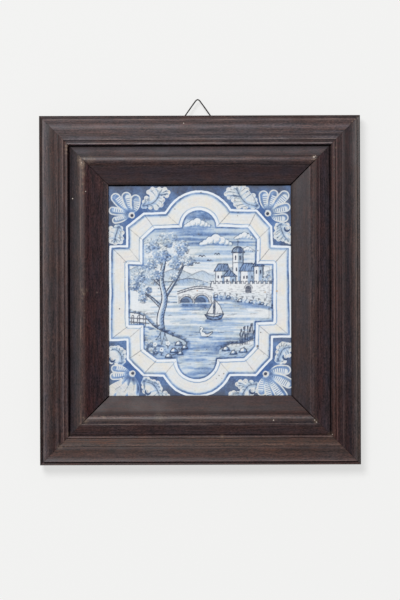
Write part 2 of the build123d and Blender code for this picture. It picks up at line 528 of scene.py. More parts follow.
@dataclass(frozen=True)
class Petal:
    """One petal of a shell: where its tip is and how round that is."""

    tip: Point
    radius: float
    bend: float = 0.0
    plain: bool = False


@dataclass(frozen=True)
class Shell:
    """A corner ornament: petals that spread from an eye."""

    eye: Point
    petals: tuple[Petal, ...]
    eye_radius: float = 2.8
    pupil_radius: float = 1.45

    def paint(self, canvas: Canvas) -> None:
        """Paint the petals one by one, then the eye."""
        for petal in self.petals:
            self.paint_petal(canvas, petal)
        spot = canvas.limb([self.eye, self.eye], [self.eye_radius] * 2)
        canvas.lay(spot, 0, 0.6, 0.6)
        canvas.leave(spot)
        canvas.ink(canvas.limb([self.eye, self.eye], [self.pupil_radius] * 2), 1)

    def paint_petal(self, canvas: Canvas, petal: Petal) -> None:
        """Paint one petal: a pale rim, a dark crescent inside it and a hatched pale hollow."""
        eye, tip = np.array(self.eye), np.array(petal.tip)
        length = float(np.hypot(*(tip - eye)))
        ahead = (tip - eye) / length
        aside = np.array((ahead[1], -ahead[0]))
        end = tip - ahead * petal.radius
        middle = eye + (end - eye) * 0.55 - aside * petal.bend
        axis = smooth_line([eye + ahead * 2.2, middle, end], 7)
        s = np.linspace(0, 1, len(axis))
        radii = petal.radius * (0.24 + 0.76 * np.sin(np.clip(s * 1.12, 0, 1) * math.pi / 2) ** 1.2)
        shape = canvas.limb(axis, radii)
        run = shape.along / max(length - petal.radius - 2.2, 1)
        root = eased(run, 0.55, 0.1)
        canvas.lay(shape, 0.8 * root, 0.45, 0.4)
        canvas.leave(shape)
        w = shape.window
        if petal.plain:
            fold = axis - aside * (radii * 0.72)[:, None]
            canvas.tint(canvas.limb(fold, radii * 0.36), 0.45, 1.6)
            canvas.lay(canvas.limb(fold[2:-1], np.linspace(0.4, 1, len(fold) - 3)), 0.7, 0.7)
            canvas.line(fold[len(fold) // 2 : -1], 0.8, 0.8, 0.3)
            middle = axis + aside * (radii * 0.1)[:, None]
            canvas.line(middle[4:-2], 0.6, 0.45, 0.4)
            canvas.tint(canvas.limb(middle[: len(axis) // 2], radii[: len(axis) // 2] * 0.4), 0.4, 1.8)
            return
        inside = shape.cover(0.5, -1.3)
        canvas.wash[w] = np.maximum(canvas.wash[w], 0.66 * inside)
        rim = Reach(w, np.abs(shape.outside + 1.5) - 0.12, shape.along, shape.across)
        canvas.ink(rim, 0.5 * eased(run, 0.1, 0.5))
        body = axis + aside * (radii * 0.26)[:, None] - ahead * 0.9
        hollow = canvas.limb(body, np.maximum(radii * 0.88 - 1.5, 0.3))
        w = hollow.window
        run = hollow.along / max(length - petal.radius - 2.2, 1)
        root = eased(run, 0.5, 0.1)
        canvas.lay(hollow, 0.1 + 0.6 * root, 0.6)
        strokes = hollow.cover(0.6, -0.1) * eased(run, 0.12, 0.35)
        canvas.hatch[w] = np.maximum(canvas.hatch[w], strokes)
        canvas.hatch_at[w] = np.where(hollow.outside < 0.4, hollow.along, canvas.hatch_at[w])


@dataclass(frozen=True)
class Leaf:
    """A curled leaf with a scalloped edge, painted in reserve on the blue ground.

    edge is its outline, with a lobe at each point; rib is its middle vein, from the root.
    """

    edge: tuple[Point, ...]
    rib: tuple[Point, ...]
    curl: Point | None = None
    curl_turn: float = 150.0
    lobe_radius: float = 2.3

    def paint(self, canvas: Canvas) -> None:
        """Leave the leaf and its lobes white, then shade and vein them."""
        rng = canvas.rng
        rib = smooth_line(self.rib, 8)
        body = canvas.patch(smooth_line([*self.edge, self.edge[0]], 5))
        canvas.lay(body, 0.03, 0.5, 0.4)
        canvas.leave(body, -0.3)
        seats = []
        for point in np.array(self.edge):
            gaps = np.hypot(*(rib - point).T)
            root = rib[max(int(gaps.argmin()) - 4, 0)]
            seat = point + (root - point) / max(float(np.hypot(*(root - point))), 1) * 1.5
            seats.append((seat, root))
            lobe = canvas.limb([seat, seat], [self.lobe_radius] * 2)
            canvas.lay(lobe, 0.02, 0.5, 0.3)
            canvas.leave(lobe)
        canvas.tint(canvas.limb(rib, np.linspace(2.6, 0.9, len(rib))), 0.3, 3)
        for index, (seat, root) in enumerate(seats):
            following = seats[(index + 1) % len(seats)][0]
            valley = (seat + following) / 2
            lean = (valley - root) * 0.3
            vein = smooth_line([valley, valley - lean * 1.1 + 0.4, root], 4)
            shade = canvas.limb(vein, np.linspace(0.9, 0.4, len(vein)))
            canvas.tint(shade, rng.uniform(0.1, 0.34), 1.6)
            if rng.uniform() < 0.8:
                canvas.line(vein[: len(vein) * 3 // 4 + 1], 0.6, rng.uniform(0.35, 0.75))
            if rng.uniform() < 0.5:
                canvas.line([valley, valley - lean * 0.6], 1.2, rng.uniform(0.6, 1))
            if rng.uniform() < 0.65:
                start = rng.uniform(0, 360)
                canvas.line(arc(seat, self.lobe_radius * 0.55, start, start + 150, 6), 0.55, 0.5)
            if rng.uniform() < 0.35:
                spot = seat - lean * rng.uniform(0.5, 1.2)
                canvas.line([spot, spot - lean * 0.3], 0.9, rng.uniform(0.4, 0.9))
        canvas.line(rib, 0.8, 0.7)
        if self.curl is not None:
            self.paint_curl(canvas, self.curl)

    def paint_curl(self, canvas: Canvas, centre: Point) -> None:
        """Paint the rolled end of the leaf as a pale ball with a dark crescent round it."""
        crescent = arc(centre, 2.5, self.curl_turn, self.curl_turn + 190, 12)
        width = 0.95 * np.sin(np.linspace(0.15, math.pi - 0.15, 12)) + 0.15
        canvas.lay(canvas.limb(crescent, width), 0.95, 0.5)
        canvas.ink(canvas.limb(crescent, width - 0.3), 0.7)
        canvas.lay(canvas.limb([centre, centre], [1.75, 1.75]), 0.02, 0.5)
        whorl = arc(centre, 0.9, self.curl_turn - 40, self.curl_turn + 150, 8)
        canvas.line(whorl, 0.55, 0.5, 0.2)


@dataclass(frozen=True)
class CornerField:
    """One blue corner of the tile: its shell and the two leaves beside it."""

    shell: Shell
    leaves: tuple[Leaf, ...]

    def paint(self, canvas: Canvas) -> None:
        """Paint the leaves first, so that the shell lies over their roots."""
        for leaf in self.leaves:
            leaf.paint(canvas)
        self.shell.paint(canvas)


CORNERS = (
    CornerField(
        Shell(
            (-63.1, 69.7),
            (
                Petal((-81.6, 64.4), 3.3, 0.6), Petal((-84.8, 75.2), 3.9, -0.4),
                Petal((-81.4, 89.6), 4.6, 0.5), Petal((-69.6, 91.6), 4.7, 0.3),
                Petal((-58.6, 89.2), 4.8, -1),
            ),
        ),
        (
            Leaf(
                (
                    (-53.3, 76.9), (-51.2, 83.6), (-49.2, 87.3), (-46.6, 86.1), (-48.8, 92.3), (-45, 95.2),
                    (-37.5, 95.6), (-31.3, 95), (-28, 91.5), (-29.2, 88.2), (-32.6, 90), (-35, 87.3),
                    (-33, 84), (-34.6, 79), (-39.2, 76.1), (-44.6, 76.9), (-49.2, 78),
                ),
                ((-52.5, 78.5), (-44, 81), (-39.5, 85.5), (-37, 92)),
            ),
            Leaf(
                (
                    (-84.1, 57.8), (-79.1, 58.6), (-74.9, 60.3), (-72.4, 57), (-71.2, 52.8), (-72.8, 50.3),
                    (-71.4, 47.8), (-72.4, 44.5), (-75.3, 44.5), (-78.7, 42.9), (-82, 44.3), (-84.3, 45.3),
                    (-85.5, 51),
                ),
                ((-75.5, 59.5), (-77, 55), (-78.6, 50), (-79, 46)),
            ),
        ),
    ),
    CornerField(
        Shell(
            (63.1, 71.1),
            (
                Petal((58.4, 92.6), 4.6, 0.8), Petal((70.2, 93.2), 4.5, 0.4), Petal((82, 91.4), 4.9, 0),
                Petal((84.2, 78.4), 4.4, 0.8), Petal((82.6, 66.2), 4.2, -1.6),
            ),
        ),
        (
            Leaf(
                (
                    (25.9, 86.4), (23.2, 89.4), (25.5, 94), (29.6, 95.6), (32.5, 96.7), (36.7, 97.3),
                    (41.7, 97.3), (45, 94.8), (45.8, 91.5), (49.5, 89.4), (51, 85.2), (51.6, 81.9),
                    (54.9, 78.6), (53.7, 76.3), (47.9, 76.5), (40.8, 76.1), (34.6, 76.5), (31.9, 79.4),
                    (29.8, 83.6), (31.4, 87.2), (29, 88.6),
                ),
                ((53.5, 78), (44, 80.5), (38.5, 86), (34.5, 94)),
            ),
            Leaf(
                (
                    (69.9, 57), (70.7, 59.9), (74.5, 61.6), (78.2, 61.8), (82.8, 60.3), (84.4, 57.4),
                    (84, 54.1), (84.9, 48.7), (84.6, 43.7), (81.1, 44.1), (76.9, 45.8), (72.4, 46.2),
                    (69.7, 48.3), (69.5, 51.6), (71.1, 54.1),
                ),
                ((75, 61), (76, 56), (78.5, 50), (82.5, 45.5)), curl=(81.4, 57.4),
            ),
        ),
    ),
    CornerField(
        Shell(
            (-62.9, -77.1),
            (
                Petal((-83, -71.8), 3.8, -0.8), Petal((-84.2, -80.4), 3.6, 0.8),
                Petal((-86.4, -99), 6.6, 1.6, plain=True), Petal((-74.4, -102.6), 5.8, 1.4, plain=True),
                Petal((-61.8, -101.4), 5.2, 1.2, plain=True),
            ),
        ),
        (
            Leaf(
                (
                    (-84, -53.2), (-80.3, -52.4), (-76.6, -51.8), (-73.3, -53.5), (-70.4, -55.9),
                    (-69.9, -60.1), (-70.6, -64.7), (-72, -68), (-75.8, -68.6), (-79.2, -67.6),
                    (-84.2, -66), (-85, -59),
                ),
                ((-73, -68), (-73.5, -61), (-77, -56), (-82, -54.5)), curl=(-81.6, -63.6),
            ),
            Leaf(
                (
                    (-53.3, -83.8), (-50.8, -81.5), (-47.5, -81.9), (-45, -84.2), (-41.7, -84.8),
                    (-38.2, -86.1), (-37.1, -88.8), (-35.7, -91.7), (-36.3, -95), (-31.3, -95.8),
                    (-28.8, -98.9), (-38.8, -99.8), (-49.2, -99.3), (-51.7, -95.4), (-52.7, -91.3),
                    (-53.3, -87.5),
                ),
                ((-52.5, -84.5), (-45, -87), (-40.5, -92), (-38, -98.5)), curl=(-48.6, -94),
            ),
        ),
    ),
    CornerField(
        Shell(
            (60.7, -77.9),
            (
                Petal((56.2, -98.6), 4.6, -0.8), Petal((66.8, -103), 4.6, -0.3),
                Petal((79.4, -102.4), 5.2, 0.4), Petal((86.8, -88.6), 5, 1.2),
                Petal((84.4, -73.6), 4.6, 2.2),
            ),
        ),
        (
            Leaf(
                (
                    (72.2, -52.2), (74.5, -50.1), (76.7, -48.7), (79.4, -49.1), (82.3, -49.7),
                    (85.2, -50.5), (85.2, -55.9), (82.6, -58), (83.4, -62), (79.8, -66.2), (76.5, -66.9),
                    (72.4, -67.1), (70.3, -64.2), (71.1, -60.9), (71.5, -56.4),
                ),
                ((72.5, -66.5), (74.5, -60), (77.5, -55), (83.5, -53)), curl=(79.6, -62),
            ),
            Leaf(
                (
                    (33.1, -87.2), (35.8, -84.8), (40.8, -84), (46.2, -85), (50.4, -87.1), (53.1, -90.4),
                    (52, -95), (48.7, -97.6), (44.4, -99.6), (35, -100), (26.3, -99.7), (26.9, -96.4),
                    (29.6, -95.2), (33.4, -96.2), (37.4, -94.6), (38.2, -91.6), (35.6, -89.8),
                ),
                ((52, -87.5), (45, -89), (41, -94), (38, -99)), curl=(48.6, -93.6),
            ),
        ),
    ),
)


class Landscape(Canvas):
    """A canvas with the picture inside the border: a river, a bridge and a small walled town."""

    HORIZON = 8
    CLOUDS = ((14, 44.5, 1), (41, 49, 0.62), (-3, 61, 0.8), (44, 37, 0.42))

    def paint_picture(self) -> None:
        """Paint from the sky forwards, each thing over what lies behind it."""
        self.sky()
        self.hills()
        self.river()
        self.far_bank()
        self.town()
        self.bridge()
        self.boat(13, -25)
        self.swan(0, -41)
        self.tree()
        self.near_bank()
        self.birds()

    def brushed(
        self, left: Point, right: Point, count: int, tone: tuple[float, float], width: tuple[float, float],
    ) -> None:
        """Brush thin level strokes over a box.

        Args:
            left: the box's lower left corner.
            right: its upper right corner.
            count: how many strokes there are.
            tone: their lightest and darkest tone.
            width: their least and greatest half width.
        """
        rng = self.rng
        taper = np.array([0.5, 1, 1.1, 1, 1, 0.9, 0.4])
        for _ in range(count):
            y = rng.uniform(left[1], right[1])
            start = rng.uniform(left[0], right[0] - (right[0] - left[0]) * 0.35)
            end = start + (right[0] - left[0]) * rng.uniform(0.2, 0.6)
            sway = rng.uniform(-0.8, 0.8, 3)
            path = [(start, y + sway[0]), ((start + end) / 2, y + sway[1]), (end, y + sway[2])]
            reach = self.limb(smooth_line(path, 3), taper * rng.uniform(*width))
            self.tint(reach, rng.uniform(*tone), 0.8)

    def sky(self) -> None:
        """Deepen the sky upwards, and lift the clouds out of it."""
        inside = self.inner > -1
        above = eased(self.y, self.HORIZON + 6, 76) * inside
        self.wash[:] = np.where(inside, 0.05 + 0.2 * above, self.wash)
        self.brushed((-14, 58), (14, 74), 34, (0.12, 0.34), (0.6, 1.5))
        self.brushed((-50, 42), (52, 57), 34, (0.08, 0.28), (0.5, 1.5))
        self.brushed((-50, 26), (52, 42), 18, (0.05, 0.18), (0.4, 1.2))
        self.brushed((-50, 14), (52, 26), 8, (0.03, 0.09), (0.5, 1.2))
        for x, y, size in self.CLOUDS:
            self.cloud(x, y, size)

    def cloud(self, x: float, y: float, size: float) -> None:
        """A bank of puffs with an outline round them all and a shaded foot."""
        puffs = (
            (-12.6, -1.6, 2), (-9, -0.4, 3), (-4.6, 1.6, 3.8), (0.8, 3.4, 4.6), (6.2, 1.4, 3.8),
            (10.4, -0.4, 3), (14.2, -1.6, 2),
        )
        seats = [((x + a * size, y + b * size), r * size) for a, b, r in puffs]
        for seat, radius in seats:
            self.line(arc(seat, radius, -30, 210, 14), 0.9, 0.66, 0.2)
        for seat, radius in seats:
            self.lay(self.limb([seat, seat], [radius - 0.3] * 2), 0, 0.5)
        foot = [(x - 13 * size, y - 3 * size), (x, y - 2 * size), (x + 15 * size, y - 3 * size)]
        self.tint(self.limb(smooth_line(foot, 4), [0.9 * size] * 9), 0.34, 1.6)
        for seat, radius in seats[1:-1]:
            hollow = (seat[0] + radius * 0.25, seat[1] - radius * 0.15)
            fold = arc(hollow, radius * 0.62, 250, 380, 8)
            self.tint(self.limb(fold, [radius * 0.16] * 8), 0.36, 0.8)
            self.line(arc(hollow, radius * 0.34, 240, 350, 6), 0.6, 0.4)

    def ridge(self, points: Line, foot: float, tone: float, edge: float) -> None:
        """Paint a hill under a line of points, palest at its foot."""
        crest = smooth_line(points, 6)
        outline = [*crest, (points[-1][0], foot), (points[0][0], foot)]
        reach = self.patch(outline)
        top = max(y for _, y in points)
        fade = eased(reach.across, foot - 2, top)
        self.lay(reach, 0.02 + tone * (0.3 + 0.7 * fade), 0.7)
        shadow = Reach(reach.window, reach.outside + 0.5, reach.along, reach.across)
        self.hatched(shadow, -52, 2, edge * fade * 0.75)
        self.line(crest, 0.8, edge, 0.2)

    def hills(self) -> None:
        """Three ranges, each nearer and darker."""
        self.ridge([(-68, 18), (-54, 23), (-38, 16), (-22, 20), (-4, 13)], 4, 0.24, 0.5)
        right = [(-12, 12), (2, 18), (12, 14), (30, 21), (50, 15), (70, 20)]
        self.ridge(right, 4, 0.22, 0.45)
        self.ridge([(-68, 9), (-50, 12.5), (-30, 8), (-10, 11), (8, 7)], 2, 0.4, 0.7)
        rng = self.rng
        for _ in range(34):
            x = rng.uniform(-66, 20)
            y = 5.2 + 1.6 * math.sin(x * 0.12) + rng.uniform(-1.5, 1.5)
            self.foliage((x, y), rng.uniform(1.2, 2.2), 0.4, 5)

    def river(self) -> None:
        """Fill the foreground with water that runs down into the lower round end."""
        water = [(-68, 4), (70, 4), (70, -34), (54, -66), (20, -66), (18, -84), (-26, -84)]
        water += [(-26, -66), (-54, -60), (-68, -34)]
        reach = self.patch(water)
        self.lay(reach, 0.06 + 0.09 * eased(reach.across, 4, -80), 0.8)
        self.brushed((-24, -82), (18, -60), 44, (0.08, 0.3), (0.4, 1.3))
        self.brushed((-50, -60), (50, -40), 46, (0.08, 0.32), (0.4, 1.4))
        self.brushed((-60, -40), (60, -12), 40, (0.05, 0.24), (0.4, 1.1))
        self.brushed((-64, -12), (20, 2), 20, (0.04, 0.18), (0.3, 0.8))
        rng = self.rng
        for _ in range(150):
            x, y = rng.uniform(-56, 56), rng.uniform(-80, -4)
            half = rng.uniform(1.4, 5)
            dip = rng.uniform(-0.5, 0.5)
            ripple = smooth_line([(x - half, y), (x, y + dip), (x + half, y)], 3)
            self.line(ripple, 0.7, rng.uniform(0.2, 0.6))

    def wall(self, low: Point, size: Point) -> None:
        """A house wall or tower shaft, shaded on its right.

        Args:
            low: its lower left corner.
            size: its width and height.
        """
        (x, y), (width, height) = low, size
        box = [(x, y), (x + width, y), (x + width, y + height), (x, y + height)]
        self.lay(self.patch(box), 0.02, 0.5)
        edge = x + width / 2
        shade = [(edge, y), (x + width, y), (x + width, y + height), (edge, y + height)]
        self.tint(self.patch(shade), 0.34, 0.6)
        self.hatched(self.patch(shade), 90, 1.9, 0.5)
        self.line([box[0], box[3]], 0.8, 0.8, 0.1)
        self.line([box[1], box[2]], 1, 0.9, 0.1)
        self.line([box[3], box[2]], 0.8, 0.75, 0.1)

    def roof(self, points: Line, tone: float) -> None:
        """A roof with tile courses."""
        body = self.patch(points)
        self.lay(body, tone, 0.5)
        self.hatched(body, 68, 1.9, 0.85)
        closed = [*points, points[0]]
        for a, b in zip(closed[:-1], closed[1:]):
            self.line([a, b], 0.8, 0.95, 0.1)

    def windows(self, spots: Sequence[Point], height: float) -> None:
        """Small dark openings."""
        for x, y in spots:
            self.line([(x, y), (x, y + height)], 1.3, 1, 0.1)

    def town(self) -> None:
        """A domed tower, a gate tower and houses behind a wall, on the right bank."""
        self.wall((30.6, 6), (9.6, 29))
        dome = arc((35.4, 35), 5.4, 180, 0, 12)
        self.lay(self.patch(dome), 0.34, 0.5)
        self.tint(self.limb([(37.4, 36.4), (37.2, 38.4)], [2.4, 1.4]), 0.6, 0.8)
        for turn in (150, 115, 65, 30):
            rib = (35.4 + 5.4 * math.cos(math.radians(turn)), 35)
            self.line([rib, (35.4, 40.4)], 0.6, 0.7, 0.1)
        self.line(dome, 1, 0.95, 0.1)
        self.line([(29.6, 35), (41.4, 35)], 1.3, 0.9, 0.1)
        self.line([(35.4, 40.4), (35.4, 47)], 0.9, 0.95)
        self.line([(33.8, 44.8), (37.2, 44.8)], 0.8, 0.95)
        self.line([(30.6, 25.6), (40.2, 25.6)], 0.8, 0.7, 0.1)
        self.windows([(33.2, 28.4), (37.4, 28.4)], 3.2)
        self.windows([(34, 18)], 2.4)
        for low, size, eaves, tone, panes, height in (
            (
                (14.6, 5), (12, 12.6), [(13, 17.6), (17, 24.4), (25.6, 24.4), (28, 17.6)], 0.6,
                [(17, 11.4), (20.2, 11.4), (24, 11.4)], 1.8,
            ),
            ((22.4, 4), (11, 9), [(21, 12.8), (27.4, 19.4), (34.4, 12.8)], 0.6, [(25.2, 8), (30.6, 8)], 1.8),
            (
                (37.8, 4), (13, 13.6), [(36.4, 17.6), (40.6, 25), (48.8, 25), (52, 17.6)], 0.6,
                [(41, 11), (43.6, 11), (48.4, 11)], 1.8,
            ),
            ((50.2, 2), (8.6, 20), [(49, 22), (54.4, 31), (60, 22)], 0.7, [(52.6, 15.6), (56.4, 15.6)], 2.6),
        ):
            self.wall(low, size)
            self.roof(eaves, tone)
            self.windows(panes, height)
        for x, y, size in ((61, 9.5, 3.8), (65, 7.5, 4.2), (62.5, 14, 3)):
            self.foliage((x, y), size, 0.5, 34)
        self.rampart()

    def rampart(self) -> None:
        """The town wall, with merlons, courses of stone and a gate."""
        rng = self.rng
        box = [(10, -1.4), (68, -3.4), (68, 6.2), (10, 6.2)]
        self.lay(self.patch(box), 0.04, 0.5)
        self.hatched(self.patch([(10, -1.4), (68, -3.4), (68, 0.6), (10, 1.4)]), 2, 1.7, 0.45)
        for x in np.arange(10.6, 67, 4):
            merlon = [(x, 6), (x + 2.2, 6), (x + 2.2, 8.2), (x, 8.2)]
            self.lay(self.patch(merlon), 0.02, 0.4)
            for a, b in ((0, 3), (3, 2), (2, 1)):
                self.line([merlon[a], merlon[b]], 0.75, 0.85, 0.1)
            self.line([(x + 2.4, 6.2), (x + 3.8, 6.2)], 0.75, 0.8, 0.1)
        for _ in range(26):
            x, y = rng.uniform(11, 65), rng.uniform(1.4, 5.2)
            self.line([(x, y), (x + rng.uniform(1, 2.2), y)], 0.7, rng.uniform(0.3, 0.6))
        gate = [*arc((45, 1.4), 2.8, 180, 0, 10), (47.8, -2.6), (42.2, -2.6)]
        self.ink(self.patch(gate), 0.9)
        self.line(arc((45, 1.4), 3.9, 180, 0, 10), 0.7, 0.7, 0.1)
        self.line([(10, -1.4), (10, 6.2)], 0.9, 0.9, 0.1)

    def bridge(self) -> None:
        """A stone bridge of two arches from the town to the far bank."""
        deck = smooth_line([(-21, -3.4), (-9, 0.4), (1, 1.6), (12, 0.2)], 5)
        face = [*deck, (12, -12), (-21, -12)]
        self.lay(self.patch(face), 0.05, 0.5)
        self.hatched(self.patch(face), 3, 2.1, 0.34)
        rail = [(x, y + 2) for x, y in deck]
        self.lay(self.limb(deck + np.array((0, 1)), [1] * len(deck)), 0.03)
        self.line(deck, 0.9, 0.9, 0.1)
        self.line(rail, 0.8, 0.85, 0.1)
        for x in np.arange(-19.5, 11, 3):
            y = float(np.interp(x, deck[:, 0], deck[:, 1]))
            self.line([(x, y), (x, y + 2)], 0.7, 0.7)
        for centre, radius in (((-12.4, -11.6), 5.4), ((1.6, -11.4), 6.4)):
            self.lay(self.patch(arc(centre, radius, 180, 0, 12)), 0.6, 0.5)
            shade = self.patch(arc((centre[0] - 1.2, centre[1]), radius - 1.2, 180, 0, 12))
            self.ink(shade, 0.72)
            self.line(arc(centre, radius + 0.4, 180, 0, 14), 0.9, 0.95, 0.1)
            self.line(arc(centre, radius + 2.2, 165, 15, 14), 0.6, 0.6, 0.1)
            for angle in range(20, 180, 20):
                ray = Vector((math.cos(math.radians(angle)), math.sin(math.radians(angle))))
                foot = Vector(centre) + ray * (radius + 0.6)
                self.line([tuple(foot), tuple(foot + ray * 1.6)], 0.6, 0.65)
            glint = self.limb([(centre[0] - 3, -13.6), (centre[0] + 4, -13.8)], [1.5, 1.1])
            self.tint(glint, 0.5, 1.2)
        for x in (-19.6, -5.4, 10.4):
            self.line([(x, -12.4), (x, -6)], 0.9, 0.8, 0.2)
        self.brushed((-22, -18), (16, -12.4), 18, (0.15, 0.4), (0.3, 0.7))

    def far_bank(self) -> None:
        """The land on the right, with rocks and bushes along the water."""
        points = [(8, -3), (16, -6.5), (28, -7.5), (40, -11), (54, -12.5), (71, -17)]
        shore = smooth_line(points, 5)
        under = self.limb(shore - np.array((0, 1.8)), [1.7] * len(shore))
        self.tint(under, 0.42, 1.6)
        land = self.patch([*shore, (71, 2), (8, 2)])
        self.lay(land, 0.1, 0.6)
        self.hatched(land, -14, 2, 0.42)
        rng = self.rng
        for index, share in enumerate(np.linspace(0.06, 0.97, 17)):
            x = 8 + 63 * share + rng.uniform(-1, 1)
            y = float(np.interp(x, shore[:, 0], shore[:, 1]))
            if index % 3 == 1:
                self.rock((x, y + 0.8), rng.uniform(1.8, 2.8))
            else:
                self.foliage((x, y + 1), rng.uniform(1.6, 2.8), 0.5, 12)
        for x in np.arange(18, 66, 5.2):
            y = float(np.interp(x, shore[:, 0], shore[:, 1]))
            self.tuft((x + rng.uniform(-1, 1), y + rng.uniform(2.5, 4)), 4, 2.2)
        for x, y in ((62, -1), (66, -2.4)):
            self.line([(x, y - 6), (x + 0.3, y + 4)], 1, 0.85)
            self.foliage((x + 0.4, y + 7), 4.2, 0.5, 40)

    def boat(self, x: float, y: float) -> None:
        """A small boat under sail, with its reflection.

        Args:
            x, y: the foot of its mast.
        """
        self.tint(self.limb([(x - 7, y - 3.4), (x + 7, y - 3.2)], [1.3, 1]), 0.5, 1.2)
        self.brushed((x - 9, y - 9), (x + 9, y - 3), 9, (0.15, 0.35), (0.3, 0.6))
        deck = smooth_line([(x - 8.6, y + 2.4), (x, y + 0.2), (x + 9, y + 2.8)], 5)
        keel = smooth_line([(x + 6.4, y - 1.8), (x, y - 2.8), (x - 6, y - 1.8)], 5)
        hull = self.patch([*deck, *keel])
        self.lay(hull, 0.6, 0.4)
        self.hatched(hull, 2, 1.6, 0.9)
        self.ink(hull, 0.95, 0.4)
        self.line([(x, y + 0.4), (x + 0.4, y + 17)], 0.9, 0.95, 0.3)
        for sail in (
            [(x + 1.2, y + 16), (x + 5.6, y + 10.4), (x + 8.4, y + 3.6), (x + 1, y + 2.6)],
            [(x - 0.6, y + 14.4), (x - 0.6, y + 3), (x - 6.8, y + 3.2)],
        ):
            cloth = self.patch(sail)
            self.lay(cloth, 0, 0.4)
            self.ink(cloth, 0.85, 0.36)
            low = [sail[-2], sail[-1], (sail[-1][0], sail[-1][1] + 3.4)]
            self.hatched(self.patch(low), 80, 1.7, 0.5)

    def foliage(self, centre: Point, size: float, tone: float, dabs: int) -> None:
        """A rounded clump of leaves, lit from its upper left.

        Args:
            centre: its middle.
            size: its radius.
            tone: tone of its wash.
            dabs: how many leaf strokes there are.
        """
        rng = self.rng
        for _ in range(9):
            angle, out = rng.uniform(0, 2 * math.pi), rng.uniform(0.2, 0.72) * size
            seat = (centre[0] + out * math.cos(angle), centre[1] + out * math.sin(angle) * 0.85)
            light = 0.5 + 0.5 * ((centre[0] - seat[0]) + (seat[1] - centre[1])) / (1.4 * size)
            blob = self.limb([seat, seat], [size * rng.uniform(0.3, 0.45)] * 2)
            self.lay(blob, tone * (1.2 - 0.95 * light), 0.7)
        for _ in range(dabs):
            angle, out = rng.uniform(0, 2 * math.pi), math.sqrt(rng.uniform(0, 1.2)) * size
            x, y = centre[0] + out * math.cos(angle), centre[1] + out * math.sin(angle) * 0.88
            light = 0.5 + 0.5 * ((centre[0] - x) + (y - centre[1])) / (1.4 * size)
            turn = rng.uniform(-1, 0.6)
            reach = rng.uniform(0.5, 1.1)
            tip = (x + reach * math.cos(turn), y + reach * math.sin(turn))
            if rng.uniform() < light * 0.6:
                self.lay(self.limb([(x, y), tip], [0.5, 0.25]), 0.05, 0.4)
            else:
                weight = rng.uniform(0.5, 0.95) * (1.1 - 0.5 * light)
                self.line([(x, y), tip], rng.uniform(0.7, 1.1), weight)

    def tuft(self, foot: Point, blades: int, height: float) -> None:
        """A tuft of grass that fans from its foot."""
        rng = self.rng
        for lean in np.linspace(-0.8, 0.8, blades):
            rise = height * rng.uniform(0.7, 1.1)
            tip = (foot[0] + lean * rise * 0.75, foot[1] + rise * (1 - 0.3 * abs(lean)))
            middle = (foot[0] + lean * rise * 0.25, foot[1] + rise * 0.6)
            blade = smooth_line([foot, middle, tip], 3)
            reach = self.limb(blade, np.linspace(0.42, 0.16, len(blade)))
            self.ink(reach, rng.uniform(0.55, 0.95))

    def tree(self) -> None:
        """The large tree on the left that leans over the water."""
        trunk = [(-35, -46), (-37, -26), (-33, -8), (-36, 10), (-33, 28)]
        for path, start, end in (
            ([(-34, -8), (-26, 4), (-20, 14), (-15, 24)], 1.8, 0.6),
            ([(-35.4, 4), (-43, 12), (-47, 22)], 1.5, 0.6), ([(-36, -16), (-44, -8), (-51, -3)], 1.4, 0.6),
            (trunk, 3.6, 1.3),
        ):
            bough = smooth_line(path, 6)
            reach = self.limb(bough, np.linspace(start, end, len(bough)))
            side = np.clip(reach.across / start, -1, 1)
            self.lay(reach, 0.55 - 0.52 * eased(side, -0.5, 0.6), 0.4)
            self.ink(reach, 0.95, 0.42)
            for index in range(1, len(bough) - 2):
                x, y = bough[index]
                width = start + (end - start) * index / len(bough)
                mark = [(x + 0.1 * width, y - 1), (x + 0.7 * width, y + 1)]
                self.line(mark, 0.7, 0.8)
        for x, y, size, tone in (
            (-48, 24, 8.4, 0.55), (-57, 13, 6.8, 0.6), (-52, 0, 6.8, 0.55), (-61, 4, 5, 0.6),
            (-45, 41, 8.4, 0.5), (-30, 47, 8.6, 0.55), (-37, 31, 9, 0.62), (-18, 39, 8, 0.56),
            (-23, 26, 7.6, 0.62), (-11, 28, 6, 0.55), (-41, 14, 7, 0.64), (-24, 12, 4.6, 0.55),
            (-54, -8, 4.4, 0.6),
        ):
            self.foliage((x, y), size, tone, int(size * 17))

